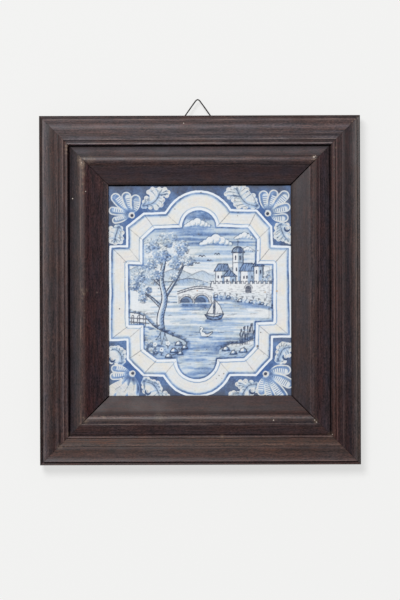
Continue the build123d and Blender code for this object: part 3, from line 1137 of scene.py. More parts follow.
    def near_bank(self) -> None:
        """The ground that the tree stands on, with rocks, flowers and a fence."""
        points = [(-68, -20), (-54, -23), (-42, -34), (-28, -41), (-13, -48), (-17, -56), (-30, -62)]
        edge = smooth_line(points, 6)
        under = self.limb(edge + np.array((1.6, -0.8)), [2] * len(edge))
        self.tint(under, 0.42, 2)
        reach = self.patch([*edge, (-30, -66), (-68, -66)])
        self.lay(reach, 0.04 + 0.34 * eased(reach.across, -24, -64), 0.6)
        rng = self.rng
        for _ in range(110):
            x, y = rng.uniform(-66, -16), rng.uniform(-64, -24)
            if y > float(np.interp(x, edge[:25, 0], edge[:25, 1])) - 1.5:
                continue
            tip = (x + rng.uniform(2, 6), y - rng.uniform(0, 1.5))
            self.tint(self.limb([(x, y), tip], [0.8, 0.3]), rng.uniform(0.15, 0.5), 0.8)
            if rng.uniform() < 0.5:
                self.line([(x, y - 0.8), tip], 0.7, rng.uniform(0.3, 0.7))
        for x, y in ((-35, -44), (-41, -46), (-30, -47.5), (-36, -50)):
            root = self.limb([(-35, -40), ((x - 35) / 2, (y - 42) / 2), (x, y)], [2, 1, 0.3])
            self.lay(root, 0.3, 0.5)
            self.ink(root, 0.8, 0.3)
        self.line(edge, 0.9, 0.9, 0.2)
        for index in range(1, len(edge), 2):
            x, y = edge[index]
            self.tuft((float(x), float(y) - 0.6), 7, rng.uniform(2.6, 5))
        for x, y, size in (
            (-20, -49.5, 3.4), (-14.5, -53, 2.8), (-24.5, -56, 3.4), (-18.5, -58.5, 2.6), (-29.5, -61, 3),
        ):
            self.rock((x, y), size)
        for x in (-63, -57.5, -52):
            post = self.limb([(x, -33), (x + 0.4, -24)], [1, 0.9])
            self.lay(post, 0.04, 0.4)
            self.ink(post, 0.9, 0.34)
        for rise in (-26.2, -30):
            self.line([(-66, rise + 0.6), (-56, rise), (-48, rise - 1)], 1, 0.85, 0.1)
        for x, y, size in ((-55, -45, 5.2), (-49.5, -51, 5.6), (-44, -57, 4.4)):
            self.foliage((x, y), size, 0.62, int(size * 15))
            self.tuft((x + 1, y - size * 0.7), 6, size)
        for x, y in ((-42, -55), (-36, -60), (-30, -54)):
            self.tuft((x, y), 6, 3.8)
            for turn in range(5):
                angle = math.radians(72 * turn)
                dot = (x + 1.3 * math.cos(angle), y + 4.8 + 1.3 * math.sin(angle))
                petal = self.limb([dot, dot], [0.8, 0.8])
                self.lay(petal, 0, 0.4)
            self.line([(x, y + 4.6), (x, y + 5.1)], 1.1, 0.95)
        self.reed_bed()

    def reed_bed(self) -> None:
        """The corner of a bank on the lower right, with rocks and tall reeds."""
        crest = smooth_line([(18, -55), (28, -50), (40, -49), (54, -43)], 6)
        self.tint(self.limb(crest - np.array((3, 0)), [2] * len(crest)), 0.4, 2)
        reach = self.patch([*crest, (54, -66), (16, -66)])
        self.lay(reach, 0.05 + 0.3 * eased(reach.across, -46, -66), 0.6)
        self.hatched(reach, 12, 2.2, 0.45)
        self.line(crest, 0.9, 0.9, 0.2)
        rng = self.rng
        for index in range(1, len(crest), 2):
            foot = (float(crest[index][0]), float(crest[index][1]) - 0.8)
            self.tuft(foot, 6, rng.uniform(3, 5))
        for _ in range(16):
            x = rng.uniform(36, 50)
            y = float(np.interp(x, crest[:, 0], crest[:, 1])) - 2
            lean = rng.uniform(-2.5, 2.5)
            rise = rng.uniform(9, 17)
            stem = smooth_line([(x, y), (x + lean * 0.3, y + rise * 0.6), (x + lean, y + rise)], 4)
            self.line(stem, 0.8, rng.uniform(0.7, 0.95), 0.5)
            head = [(x + lean * 0.96, y + rise - 1.8), (x + lean, y + rise)]
            self.line(head, 1.5, 0.95, 0.2)
        for x, y, size in ((24, -54.5, 3.4), (31, -58, 3), (40, -56, 3.6)):
            self.rock((x, y), size)

    def rock(self, centre: Point, size: float) -> None:
        """A stone with a light top and a dark foot."""
        x, y = centre
        outline = [
            (x - size, y - size * 0.5), (x - size * 0.6, y + size * 0.4), (x + size * 0.1, y + size * 0.7),
            (x + size * 0.8, y + size * 0.2), (x + size, y - size * 0.5),
        ]
        stone = self.patch(outline)
        self.lay(stone, 0.02, 0.4)
        shade = self.patch([outline[2], outline[3], outline[4], (x + size * 0.2, y - size * 0.5)])
        self.tint(shade, 0.5, 0.6)
        self.hatched(shade, 60, 1.5, 0.7)
        self.ink(stone, 0.9, 0.38)
        self.tint(self.limb([outline[0], outline[-1]], [0.8, 1]), 0.6, 1)

    def swan(self, x: float, y: float) -> None:
        """A swan on the water, facing left."""
        rump = smooth_line([(x + 2.6, y), (x + 6.6, y - 0.8), (x + 11, y + 1.8)], 4)
        body = self.limb(rump, np.linspace(2, 0.6, len(rump)))
        throat = smooth_line([(x + 2.6, y), (x + 0.6, y + 3), (x + 2.2, y + 5.4), (x + 0.4, y + 6.4)], 4)
        neck = self.limb(throat, np.linspace(1, 0.7, len(throat)))
        for part in (body, neck):
            self.ink(part, 0.9, 0.36)
        for part in (body, neck):
            self.lay(part, 0, 0.4, -0.3)
        self.line(smooth_line([(x + 4.4, y + 0.2), (x + 7.4, y + 0.2), (x + 10.4, y + 1.6)], 4), 0.7, 0.6)
        self.tint(self.limb([(x + 0.4, y - 3.2), (x + 11, y - 3)], [1, 0.7]), 0.5, 1.2)

    def birds(self) -> None:
        """A few birds in the sky."""
        for x, y, size in ((2, 31, 3.2), (9, 27, 2.4), (-2, 24.5, 2.2), (16, 33, 2.6)):
            for hand in (-1, 1):
                crook = (x + hand * size * 0.5, y + size * 0.5)
                wing = [(x, y), crook, (x + hand * size, y + 0.2)]
                self.line(smooth_line(wing, 3), 0.9, 0.95)


@dataclass(frozen=True)
class PaintedGlaze:
    """Tin glaze painted in cobalt blue, with bare biscuit on the tile's sides and back."""

    cream: Colour = srgb(237, 231, 220)
    milk: Colour = srgb(229, 234, 238)
    straw: Colour = srgb(238, 228, 202)
    blush: Colour = srgb(233, 217, 216)
    bright: Colour = srgb(240, 246, 253)
    shade: Colour = srgb(198, 205, 214)
    dull: Colour = srgb(208, 217, 224)
    freckled: Colour = srgb(166, 186, 208)
    slate: Colour = srgb(84, 91, 108)
    cobalt: Colour = srgb(66, 104, 166)
    # Painted shadow: a near-black band along the tile's top edge, where the frame's top lip shades the
    # glaze.
    top_shadow: Colour = srgb(10, 9, 15)
    # Painted shade, brown-grey like the wood, on the glaze under the frame's lip at the sides and bottom; at
    # the right and bottom a thin strip of it shows past the sight edge.
    lip_shade: Colour = srgb(48, 43, 46)
    top_shadow_line: float = 97.0 * MM
    lip_line: float = 84.95 * MM
    lip_shift: float = 0.65 * MM
    foot_line: float = 97.6 * MM
    biscuit: Colour = srgb(196, 150, 116)
    blues: tuple[Stop, ...] = (
        (0.12, srgb(212, 225, 238)), (0.28, srgb(176, 199, 227)), (0.45, srgb(140, 168, 209)),
        (0.62, srgb(112, 143, 190)), (0.8, srgb(87, 115, 163)), (1, srgb(62, 84, 130)),
    )
    greyed: tuple[Stop, ...] = (
        (0.12, srgb(210, 219, 222)), (0.28, srgb(178, 194, 208)), (0.45, srgb(142, 162, 190)),
        (0.62, srgb(112, 133, 167)), (0.8, srgb(88, 105, 141)), (1, srgb(61, 74, 106)),
    )
    line_blue: Colour = srgb(47, 58, 89)
    hatch_pitch: float = 1.8
    stains: tuple[tuple[Point, float, Colour], ...] = (
        ((53.4, -52.2), 1.5, srgb(96, 82, 78)), ((56.4, -39.4), 0.8, srgb(70, 70, 84)),
        ((-75, -17.1), 0.85, srgb(72, 62, 88)), ((-70.6, 26.3), 0.7, srgb(148, 150, 156)),
        ((-75, 32.8), 0.6, srgb(158, 160, 166)), ((-66.7, 3.4), 0.8, srgb(150, 150, 156)),
        ((-82.3, -26.8), 0.9, srgb(104, 96, 112)), ((71.5, -1), 1.3, srgb(206, 178, 140)),
        ((60.6, -2), 1, srgb(200, 176, 150)), ((-2.6, -0.5), 0.9, srgb(196, 150, 120)),
    )

    def material(self, face_level: float) -> bpy.types.Material:
        """Build the glaze.

        Args:
            face_level: height of the tile's face.

        Returns:
            The material.
        """
        sh = Shader("painted_glaze")
        at = sh.coordinates()
        streaks = sh.noise(sh.coordinates((420, 420, 420)), 1, 3, 0.6, 0.4)
        veil = sh.noise(at, 60, 5, 0.7)
        fine = sh.noise(at, 640, 2, 0.6)
        density, white = self.ruled_lines(sh, at)
        density = sh.times(density, sh.span(streaks, 0.25, 0.75, 0.68, 1.12))
        pools = sh.noise(at, 90, 3, 0.55)
        density = sh.times(density, sh.span(pools, 0.3, 0.7, 0.78, 1.14), clamp=True)
        bare = self.bare_glaze(sh, at, veil)
        bare = sh.mix(white, bare, self.bright)
        shown = self.blue(sh, at, density, bare)
        ragged = sh.span(fine, 0.3, 0.7, -0.12, 0.12)
        gap = sh.plus(sh.attribute("line_gap"), ragged)
        dark = sh.times(sh.span(gap, 0.3, -0.12), sh.attribute("line_tone"))
        dark = sh.times(dark, sh.span(streaks, 0.25, 0.6, 0.72, 1.05), clamp=True)
        shown = sh.mix(dark, shown, self.line_blue)
        shown = self.specks(sh, at, shown)
        grain = sh.mix(sh.span(fine, 0.3, 0.7), srgb(246, 246, 246), srgb(255, 255, 255))
        shown = sh.mix(1, shown, grain, "MULTIPLY")
        # Painted shadow along the tile's top edge under the frame's lip; the same mask also takes the shine
        # off there.
        sway = sh.times(sh.minus(veil, 0.5), 1.5 * MM)
        upward = sh.plus(sh.axis(at, "Y"), sway)
        in_shadow = sh.span(upward, self.top_shadow_line - 0.5 * MM, self.top_shadow_line + 0.3 * MM)
        # Painted shade under the frame's lip on the sides and bottom, with a strip of it showing at the
        # right and bottom sight edges.
        away = sh.math("ABSOLUTE", sh.plus(sh.axis(at, "X"), self.lip_shift))
        under_lip = sh.span(away, self.lip_line, self.lip_line + 0.5 * MM)
        below = sh.times(sh.axis(at, "Y"), -1)
        under_lip = sh.larger(under_lip, sh.span(below, self.foot_line, self.foot_line + 0.8 * MM))
        shown = sh.mix(under_lip, shown, self.lip_shade)
        shown = sh.mix(in_shadow, shown, self.top_shadow)
        in_shadow = sh.larger(in_shadow, under_lip)
        height = sh.axis(at, "Z")
        clay = sh.noise(at, 260, 4, 0.7)
        clay_colour = sh.mix(sh.span(clay, 0.3, 0.7), self.biscuit, srgb(170, 122, 92))
        edge = sh.plus(height, sh.times(clay, 0.0016))
        glazed = sh.span(edge, face_level - 2.6 * MM, face_level - 1.2 * MM)
        sh.surface_set(
            Base_Color=sh.mix(glazed, clay_colour, shown),
            Roughness=sh.blend(glazed, 0.85, sh.span(veil, 0.3, 0.7, 0.26, 0.36)),
            Specular_IOR_Level=sh.span(in_shadow, 0, 1, 0.42, 0),
        )
        ripple = sh.noise(at, 150, 2, 0.5)
        sh.bump(sh.plus(ripple, sh.times(streaks, 0.2)), 0.12 * MM, 0.6)
        return sh.material

    def bare_glaze(self, sh: Shader, at: Socket, veil: Socket) -> Socket:
        """Colour of the unpainted glaze: milky, with creamy, straw and rosy patches.

        Args:
            sh: the material being built.
            at: Object coordinates.
            veil: broad noise.

        Returns:
            The colour.
        """
        ground = sh.mix(sh.span(veil, 0.4, 0.6), self.milk, self.cream)
        straw = sh.noise(sh.coordinates(shift=(3, 0, 0)), 120, 4, 0.7)
        ground = sh.mix(sh.span(straw, 0.5, 0.68, 0, 0.6), ground, self.straw)
        blush = sh.noise(sh.coordinates(shift=(0, 5, 0)), 90, 4, 0.7)
        ground = sh.mix(sh.span(blush, 0.52, 0.7, 0, 0.5), ground, self.blush)
        dull = sh.noise(sh.coordinates(shift=(7, 5, 0)), 170, 3, 0.7)
        off_band = sh.span(sh.attribute("outer"), 0.4, 0)
        dull = sh.times(sh.span(dull, 0.4, 0.62), sh.span(off_band, 0, 1, 0.1, 0.6))
        ground = sh.mix(dull, ground, self.dull)
        freckle = sh.noise(sh.coordinates(shift=(2, 9, 0)), 380, 3, 0.7)
        freckle = sh.times(sh.span(freckle, 0.5, 0.64), sh.span(off_band, 0.3, 1))
        ground = sh.mix(sh.times(freckle, 0.42), ground, self.freckled)
        within = sh.span(sh.attribute("inner"), 1, 3, 0, 0.7)
        ground = sh.mix(within, ground, self.bright)
        laid = sh.times(sh.attribute("outer"), 1.3)
        return sh.mix(self.combed(sh, at, laid), ground, self.shade)

    def blue(self, sh: Shader, at: Socket, density: Socket, bare: Socket) -> Socket:
        """Colour of the blue washes, cobalt round the shells' eyes and slate at the tile's rim.

        Args:
            sh: the material being built.
            at: Object coordinates.
            density: how much blue there is.
            bare: the colour under it.

        Returns:
            The colour.
        """
        clear, _ = sh.ramp(density, [(0, grey(1)), *self.blues])
        greyed, _ = sh.ramp(density, [(0, grey(1)), *self.greyed])
        mood = sh.noise(sh.coordinates(shift=(0, 0, 2)), 75, 4, 0.65)
        blue = sh.mix(sh.span(mood, 0.44, 0.66), clear, greyed)
        front, near_eye = sh.front(), None
        for corner in CORNERS:
            glow = sh.span(sh.distance(front, corner.shell.eye), 17, 5, 0, 0.75)
            near_eye = glow if near_eye is None else sh.larger(near_eye, glow)
        on_ground = self.on_ground(sh)
        blue = sh.mix(sh.times(near_eye, on_ground), blue, self.cobalt)
        across = sh.minus(sh.math("ABSOLUTE", sh.axis(at, "X")), 86 * MM)
        up = sh.minus(sh.math("ABSOLUTE", sh.axis(at, "Y")), 97 * MM)
        rim = sh.span(sh.larger(across, up), -13 * MM, 1 * MM, 0, 0.95)
        rim = sh.times(rim, sh.span(mood, 0.35, 0.55, 0.45, 1))
        blue = sh.mix(sh.times(rim, on_ground), blue, self.slate)
        return sh.mix(sh.span(density, 0, 0.12), bare, blue)

    def on_ground(self, sh: Shader) -> Socket:
        """Whether a place is on the corners' blue ground, outside the white ornament."""
        outside = sh.span(sh.attribute("reserve"), -0.2, 0.15)
        return sh.times(outside, sh.span(sh.attribute("outer"), 0, -0.4))

    def combed(self, sh: Shader, at: Socket, laid: Socket) -> Socket:
        """Faint brush tracks that follow the border.

        Args:
            sh: the material being built.
            at: Object coordinates.
            laid: distance across the border, in tracks.

        Returns:
            How strong the tracks are.
        """
        place = sh.node("CombineXYZ", {"X": laid, "Y": sh.noise(at, 22, 1, 0.5)})
        tracks = sh.noise(place.outputs["Vector"], 1, 2, 0.6)
        patches = sh.span(sh.noise(at, 48, 2, 0.5), 0.42, 0.6, 0.15, 0.75)
        return sh.times(sh.span(tracks, 0.5, 0.72), patches)

    def ruled_lines(self, sh: Shader, at: Socket) -> tuple[Socket, Socket]:
        """Draw the border's parallel lines from the distances to its two outlines.

        Args:
            sh: the material being built.
            at: Object coordinates.

        Returns:
            Density of the blue, with the wash and the hatching in it, and the cover of the
            white lines.
        """
        wander = sh.span(sh.noise(at, 55, 3, 0.6), 0, 1, -0.9, 0.9)
        outer = sh.plus(sh.attribute("outer"), wander)
        inner = sh.plus(sh.attribute("inner"), wander)
        mood = sh.span(sh.noise(at, 38, 3, 0.6), 0.38, 0.62, 0.4, 1)
        outer_profile = [
            (-1.75, grey(1, 0)), (-1.55, grey(1, 0.6)), (-1.35, grey(0.6, 0.6)), (-1.1, grey(0, 1)),
            (0.7, grey(0, 1)), (0.95, grey(0.92, 0.97)), (2.4, grey(0.78, 0.88)), (2.8, grey(0.4, 0.34)),
            (4, grey(0.28, 0)),
        ]
        inner_profile = [
            (-4, grey(0.3, 0)), (-3.6, grey(0.6, 0.8)), (-2.9, grey(0.6, 0.8)), (-2.6, grey(0, 0)),
            (-2.3, grey(0, 0.95)), (-0.5, grey(0, 1)), (-0.25, grey(0.95, 1)), (0.95, grey(0.88, 0.97)),
            (1.4, grey(0.5, 0.3)), (2.6, grey(0.4, 0)),
        ]
        pitch = sh.times(sh.attribute("hatch_at"), 2 * math.pi / self.hatch_pitch)
        wave = sh.math("SINE", sh.plus(pitch, sh.times(wander, 1.5)))
        strokes = sh.times(sh.span(wave, 0.2, 0.9), sh.attribute("hatch"))
        wash = sh.plus(sh.attribute("wash"), sh.times(strokes, 0.6))
        density = sh.blend(self.on_ground(sh), wash, 0.86)
        white = 0
        for distance, profile in ((outer, outer_profile), (inner, inner_profile)):
            tone, cover = sh.ramp(distance, profile, profile[0][0], profile[-1][0])
            is_blue = sh.span(tone, 0.02, 0.2)
            weight = sh.times(cover, sh.blend(is_blue, 1, mood))
            density = sh.blend(weight, density, tone)
            white = sh.blend(weight, white, sh.minus(1, is_blue))
        return density, white

    def specks(self, sh: Shader, at: Socket, shown: Socket) -> Socket:
        """Scatter pinholes and stray flecks, thinly, over the glaze."""
        grain = sh.cells(sh.coordinates((210, 210, 210)))
        rare = sh.noise(at, 70, 1, 0.5)
        pit = sh.times(sh.span(grain, 0.18, 0.08), sh.span(rare, 0.57, 0.64))
        shown = sh.mix(sh.times(pit, 0.75), shown, srgb(92, 84, 84))
        front = sh.front()
        for place, radius, colour in self.stains:
            cover = sh.span(sh.distance(front, place), radius, radius * 0.4, 0, 0.9)
            shown = sh.mix(cover, shown, colour)
        return shown


@dataclass(frozen=True)
class Mark:
    """A small place on the frame's front, in millimetres from its middle."""

    x: float
    y: float
    radius: float
    strength: float = 1.0


def marks(*rows: tuple[float, ...]) -> tuple[Mark, ...]:
    """Marks from rows of numbers in the order of their fields."""
    return tuple(Mark(*row) for row in rows)


@dataclass(frozen=True)
class Band:
    """Tone and tint at one distance from the frame's outer edge: the stain, with painted light and shade
    mixed in.
    """

    inset: float
    tone: float
    red: float = 1.0
    blue: float = 1.0


def bands(*rows: tuple[float, ...]) -> tuple[Band, ...]:
    """Bands from rows of numbers in the order of their fields."""
    return tuple(Band(*row) for row in rows)


@dataclass(frozen=True)
class AgedWood:
    """Dark stained wood whose arrises are rubbed brown and whose quirks hold dirt and painted shade."""

    deep: Colour = srgb(31, 23, 23)
    warm: Colour = srgb(76, 56, 52)
    rubbed: Colour = srgb(114, 90, 80)
    gold: Colour = srgb(166, 143, 120)
    # Near black, for dirt and pores and for painted shade in the quirks.
    dirt_and_shade: Colour = srgb(8, 7, 8)
    fleck: Colour = srgb(214, 202, 190)
    # Per side, tone and tint at each inset: the stain, with painted light and shade mixed in, each face of
    # the profile lifted or darkened after how the key light falls on that side.
    top_bands: tuple[Band, ...] = bands(
        (0.5, 0.8), (2.4, 1.5, 0.95), (3.9, 2.05, 0.9, 1.05), (7, 1.2, 0.95, 1.05),
        (10.2, 2.25, 0.85, 1.15), (13.5, 1.35, 0.9, 1.05), (16.6, 2.2, 0.85, 1.1), (18, 0.95, 0.95, 1.1),
        (20.6, 1.85, 0.8, 1.15), (22.3, 2.5, 0.8, 1.1), (23.4, 1.8, 0.95, 1.05), (25, 0.8, 0.85, 1.1),
        (26.3, 3.55, 0.8, 1.15), (27.1, 2.4, 0.95, 1.2), (28.2, 0.15, 1.3, 1.3), (29.6, 0.7, 0.95, 1.3),
        (33, 1.15, 0.9, 1.2), (36, 0.8, 1, 1.1), (38.1, 0.7, 0.95, 1.1), (40.3, 2.05, 0.95, 1.05),
        (42, 1.2, 0.95, 1.05), (46.5, 1.2, 0.95, 1.05), (48.6, 0.8, 0.95, 1.2), (54, 0.85, 0.95, 1.25),
        (61.5, 1.1, 0.95, 1.1), (63.6, 0.6, 0.95, 1.1),
    )
    bottom_bands: tuple[Band, ...] = bands(
        (0.5, 1.1, 1, 0.85), (2.4, 1.05, 1.3, 1.1), (3.9, 1.45, 1, 1.05), (5.5, 1.3, 1, 0.95),
        (7.5, 1, 1.05, 0.95), (10.2, 1.15, 1.05, 0.9), (13.5, 0.8, 1.15, 0.8), (16.4, 0.85, 1.1, 0.95),
        (18.2, 1.9, 1.05, 0.8), (20.5, 1, 1.25, 0.7), (22.3, 0.8, 1.3, 0.7), (23.4, 1.3, 1.3, 0.7),
        (25, 0.7, 1.15, 0.85), (26.4, 1.4), (27.3, 1.55), (28.3, 0.9, 1.2), (29.6, 0.75, 1, 1.15),
        (33, 0.75, 1.1, 1.05), (36, 0.75, 1.1), (38.1, 1.3, 0.9, 1.1), (40.5, 1, 0.95),
        (42.5, 0.85, 1, 0.95), (44, 2.45, 0.85), (45.6, 1.8, 0.9), (46.8, 0.6, 1.1), (49, 0.65, 1.15),
        (51, 1), (54, 1), (62, 0.9, 1, 1.1),
    )
    left_bands: tuple[Band, ...] = bands(
        (0.5, 0.45, 1, 0.9), (2.4, 0.65, 0.95), (3.8, 2.05, 0.8, 1.1), (5.4, 1.8, 0.85, 1.1),
        (7.5, 1.25, 0.85, 1.1), (10.2, 0.85, 0.95), (13.5, 0.65, 1.1), (16.4, 1.45, 0.95, 1.05),
        (18.2, 0.55, 1.15), (20.4, 1.05, 0.95, 1.05), (22.2, 1.8, 0.95, 1.05), (23.4, 1, 1.15),
        (25, 1.5, 0.95, 1.05), (26.2, 0.5, 1.05, 1.1), (27.2, 0.4, 1.3, 1.3), (28.2, 0.55, 1.1, 1.3),
        (29.5, 0.45, 0.9, 1.3), (33, 0.75, 0.85, 1.2), (36, 0.9, 0.9), (38.1, 1.35, 0.95),
        (40.5, 1.05, 1.15, 0.95), (42.5, 0.7, 1.3), (44.5, 0.75, 1.4, 1.1), (47, 0.7, 1.35, 1.2),
        (49, 0.6, 1.2, 1.2), (54, 0.6, 1.1, 1.25), (58, 0.75, 1.15, 1.15), (62, 0.95, 0.9, 1.15),
        (63.6, 1.2, 0.9, 1.1),
    )
    right_bands: tuple[Band, ...] = bands(
        (0.5, 0.6, 0.95, 0.95), (2.4, 2.35, 0.85, 0.9), (3.9, 1.2, 0.85), (5.5, 1.1), (7.5, 0.75),
        (10.2, 0.55, 1, 1.25), (13.5, 0.45, 1.1, 1.15), (16.6, 0.85, 1, 1.15), (18.2, 0.7, 1.15, 1.1),
        (20.5, 0.4, 1.35), (22.3, 0.85, 1.3, 1.05), (23.3, 0.45, 1.5, 0.85), (24.6, 1.25, 1.2),
        (26.2, 0.45, 1.25, 1.05), (27.2, 0.9, 1.1), (28.2, 0.2, 1.3, 1.3), (29.5, 0.65, 0.9, 1.25),
        (33, 0.7, 0.95, 1.3), (36, 0.6, 1.2, 1.15), (38.1, 0.6, 1.15, 1.2), (42.5, 0.65, 1.15),
        (44.5, 1.15, 0.95, 1.05), (46.5, 1.35, 0.9, 1.1), (49, 0.85, 0.9, 1.1), (54, 0.95, 0.95, 1.1),
        (58, 1.05, 0.85, 1.1), (62, 0.95, 0.9, 1.05), (63.6, 0.6, 0.9, 1.05),
    )
    full_tone: float = 4.0
    ruddy: Colour = (1.13, 0.97, 0.95, 1)
    bluish: Colour = (0.86, 1, 1.22, 1)
    worn_lines: tuple[Point, ...] = (
        (3.9, 0.55), (16.4, 0.4), (22, 0.45), (25.8, 0.6), (38.1, 0.8), (41.6, 0.3), (63.6, 0.25),
    )
    # Dark lines in the quirks and in the gap before the frieze: dirt, with painted shade where the steps
    # shade the faces below.
    dirt_and_shade_lines: tuple[Point, ...] = ((2.4, 0.5), (17.7, 0.45), (23.4, 0.5), (28, 1), (47.6, 0.25))
    worn_spots: tuple[Mark, ...] = marks(
        (-109.6, 0.6, 2.4, 0.6), (-108.4, -2.6, 3, 0.55), (-105.4, 0.4, 2.6, 0.3), (-109.6, -7, 1.6, 0.35),
        (-107.6, 20, 1, 0.5), (-107.4, -18.6, 1, 0.5), (-107.6, -25.4, 0.9, 0.4), (-95.8, -1.8, 1, 0.5),
        (146.4, 160.6, 1.2, 0.9), (144.2, 158.4, 1.1, 0.9), (142, 156.4, 1.1, 0.7), (139.4, 154.4, 1, 0.6),
        (104.4, 121, 1, 0.8), (102.6, 119.2, 0.9, 0.7), (106.2, 121.2, 1.1, 0.9), (126.6, 132.2, 1.6, 0.5),
        (125, 123, 1.4, 0.5), (125.2, 112, 1.3, 0.4), (-123.8, 134.4, 2, 0.9), (-124, 131, 1.8, 0.9),
        (-124, 127.6, 1.6, 0.7), (-112.6, 124.4, 1.6, 0.9), (-112.4, 121.6, 1.5, 0.6),
        (-107, 122.6, 2.2, 0.8), (-102.6, 122.4, 2, 0.7), (-97.6, 122.2, 1.8, 0.5), (-109.2, 114, 1.8, 0.8),
        (-109.2, 110, 1.8, 0.8), (-109, 105.4, 1.8, 0.6), (-108.8, 99, 1.8, 0.5), (-108.6, 91, 1.6, 0.35),
        (-132.6, -145.2, 1.3, 0.5), (-129, -145.2, 1.3, 0.5), (-125.4, -145, 1.2, 0.4),
        (-109, -118, 1.5, 0.8), (-112, -124, 1.5, 0.6), (-111.2, 121.4, 3.6, 0.9), (-109.4, 117.6, 4.6),
        (-108.6, 109, 4.2, 0.5), (-102, 121.6, 5.4, 0.45), (-107, -121.4, 4.4, 0.4), (-131, -145, 4, 0.3),
        (-122.4, -133, 3, 0.3), (107, -122, 3.6, 0.5), (106.4, 122.8, 3.6, 0.7), (121, -134.6, 4, 0.25),
        (-90, -117.4, 2.2, 0.8), (-38, -118.4, 7, 0.35), (20, -136, 3, 0.4),
    )
    chips: tuple[Mark, ...] = marks(
        (67.9, -121, 0.75, 0.9), (106.1, 123.6, 0.9, 0.85), (107.8, 124.4, 0.6, 0.6),
        (106.1, -121, 0.6, 0.6), (107.9, -122.9, 0.6, 0.6), (-14.8, 155.2, 0.7, 0.6),
        (-118.1, 85.5, 0.6, 0.8), (-106, 92, 0.6, 0.7), (122.6, -134.4, 0.6, 0.35),
        (-109.7, 118.9, 0.6, 0.5),
    )

    def lines(self, sh: Shader, inset: Socket, places: tuple[Point, ...]) -> Socket:
        """Strength of soft lines at set distances from the frame's outer edge.

        Args:
            sh: the material being built.
            inset: distance from the outer edge.
            places: each line's distance and strength.

        Returns:
            The strength, from 0 to 1.
        """
        stops = []
        for place, strength in places:
            half = 0.9 if strength >= 1 else 0.6
            stops += [(place - half, grey(0)), (place, grey(strength)), (place + half, grey(0))]
        colour, _ = sh.ramp(inset, stops, -2, 66)
        return colour

    def marked(self, sh: Shader, spots: Sequence[Mark], ragged: object, soft: float) -> Socket:
        """Cover of a few ragged round marks.

        Args:
            sh: the material being built.
            spots: where they are.
            ragged: noise from 0 to 1 that breaks their edges.
            soft: share of the radius over which they fade.

        Returns:
            The cover, from 0 to 1.
        """
        front, total = sh.front(), None
        for mark in spots:
            reach = sh.math("DIVIDE", sh.distance(front, (mark.x, mark.y)), mark.radius)
            reach = sh.plus(reach, sh.span(ragged, 0.25, 0.75, -0.5, 0.5))
            cover = sh.span(reach, 1, 1 - soft, 0, mark.strength)
            total = cover if total is None else sh.larger(total, cover)
        return total

    def on_rail(self, spots: Sequence[Mark], rail: Rail) -> list[Mark]:
        """The marks that touch one side of the frame, its mitres included."""
        kept = []
        for mark in spots:
            across, up = abs(mark.x) + 13.3, abs(mark.y)
            near_mitre = abs(across - up) < 7
            sides = {Rail.TOP: mark.y, Rail.BOTTOM: -mark.y, Rail.LEFT: -mark.x, Rail.RIGHT: mark.x}
            on_level = up >= across if rail.runs_across else across > up
            if sides[rail] > 60 and (on_level or near_mitre):
                kept.append(mark)
        return kept

    def joint(self, sh: Shader, rail: Rail, inset: object, end_half: float) -> Socket:
        """Dirt in the sight moulding's mitres, thinnest where the joint is still shut.

        Args:
            sh: the material being built.
            rail: which side it is for.
            inset: distance from the outer edge.
            end_half: from the frame's middle to the outer edge that the rail's end meets.

        Returns:
            The strength, from 0 to 1.
        """
        first, last = {
            Rail.TOP: (0.35, 1), Rail.BOTTOM: (1, 0.8), Rail.LEFT: (1, 0.35), Rail.RIGHT: (0.8, 1),
        }[rail]
        along = sh.axis(sh.coordinates(), "X" if rail.runs_across else "Y")
        reach = sh.times(sh.math("ABSOLUTE", along), 1 / MM)
        away = sh.minus(sh.minus(end_half / MM, reach), inset)
        line = sh.span(sh.math("ABSOLUTE", away), 0.9, 0.3)
        line = sh.times(line, sh.span(inset, 39, 46, 0.2, 1))
        return sh.times(line, sh.blend(sh.span(along, -MM, MM), first, last))

    def material(self, rail: Rail, half_size: float, end_half: float) -> bpy.types.Material:
        """Build the wood of one side, with its grain along the rail.

        Args:
            rail: which side it is for.
            half_size: from the frame's middle to its outer edge on that side.
            end_half: the same for the sides that it meets.

        Returns:
            The material.
        """
        sh = Shader(f"aged_wood_{rail.value}")
        at = sh.coordinates()
        seed = 3.7 * list(Rail).index(rail)
        fibre = self.grain(sh, rail, (60, 1000), seed)
        fine = self.grain(sh, rail, (480, 1300), seed + 1)
        broad = self.grain(sh, rail, (16, 170), seed + 2)
        cloud = sh.noise(sh.coordinates((34, 34, 34), (seed, 0, seed)), 1, 4, 0.65)
        offset = sh.axis(at, "Y" if rail.runs_across else "X")
        reach = sh.times(sh.math("ABSOLUTE", offset), 1 / MM)
        inset = sh.minus(half_size / MM, reach)
        joint = self.joint(sh, rail, inset, end_half)
        wander = sh.times(sh.minus(cloud, 0.5), 0.9)
        inset = sh.plus(inset, wander)
        streak = sh.plus(sh.times(fibre, 0.45), sh.times(fine, 0.55))
        calm = sh.span(inset, 46, 50, 0, 0 if rail is Rail.LEFT else 0.45)
        streak = sh.blend(calm, streak, 0.5)
        base = sh.mix(sh.span(streak, 0.41, 0.59), self.deep, self.warm)
        patches = sh.noise(sh.coordinates((60, 60, 60), (0, seed, 4)), 1, 4, 0.7)
        hue = sh.plus(sh.times(patches, 0.45), sh.times(broad, 0.55))
        tint = sh.mix(sh.span(hue, 0.42, 0.58), self.ruddy, self.bluish)
        base = sh.mix(1, base, tint, "MULTIPLY")
        worn = sh.times(self.lines(sh, inset, self.worn_lines), sh.span(cloud, 0.38, 0.6))
        scuff = sh.times(sh.span(streak, 0.54, 0.62), sh.span(cloud, 0.5, 0.62, 0, 0.4))
        base = sh.mix(sh.larger(worn, scuff), base, self.rubbed)
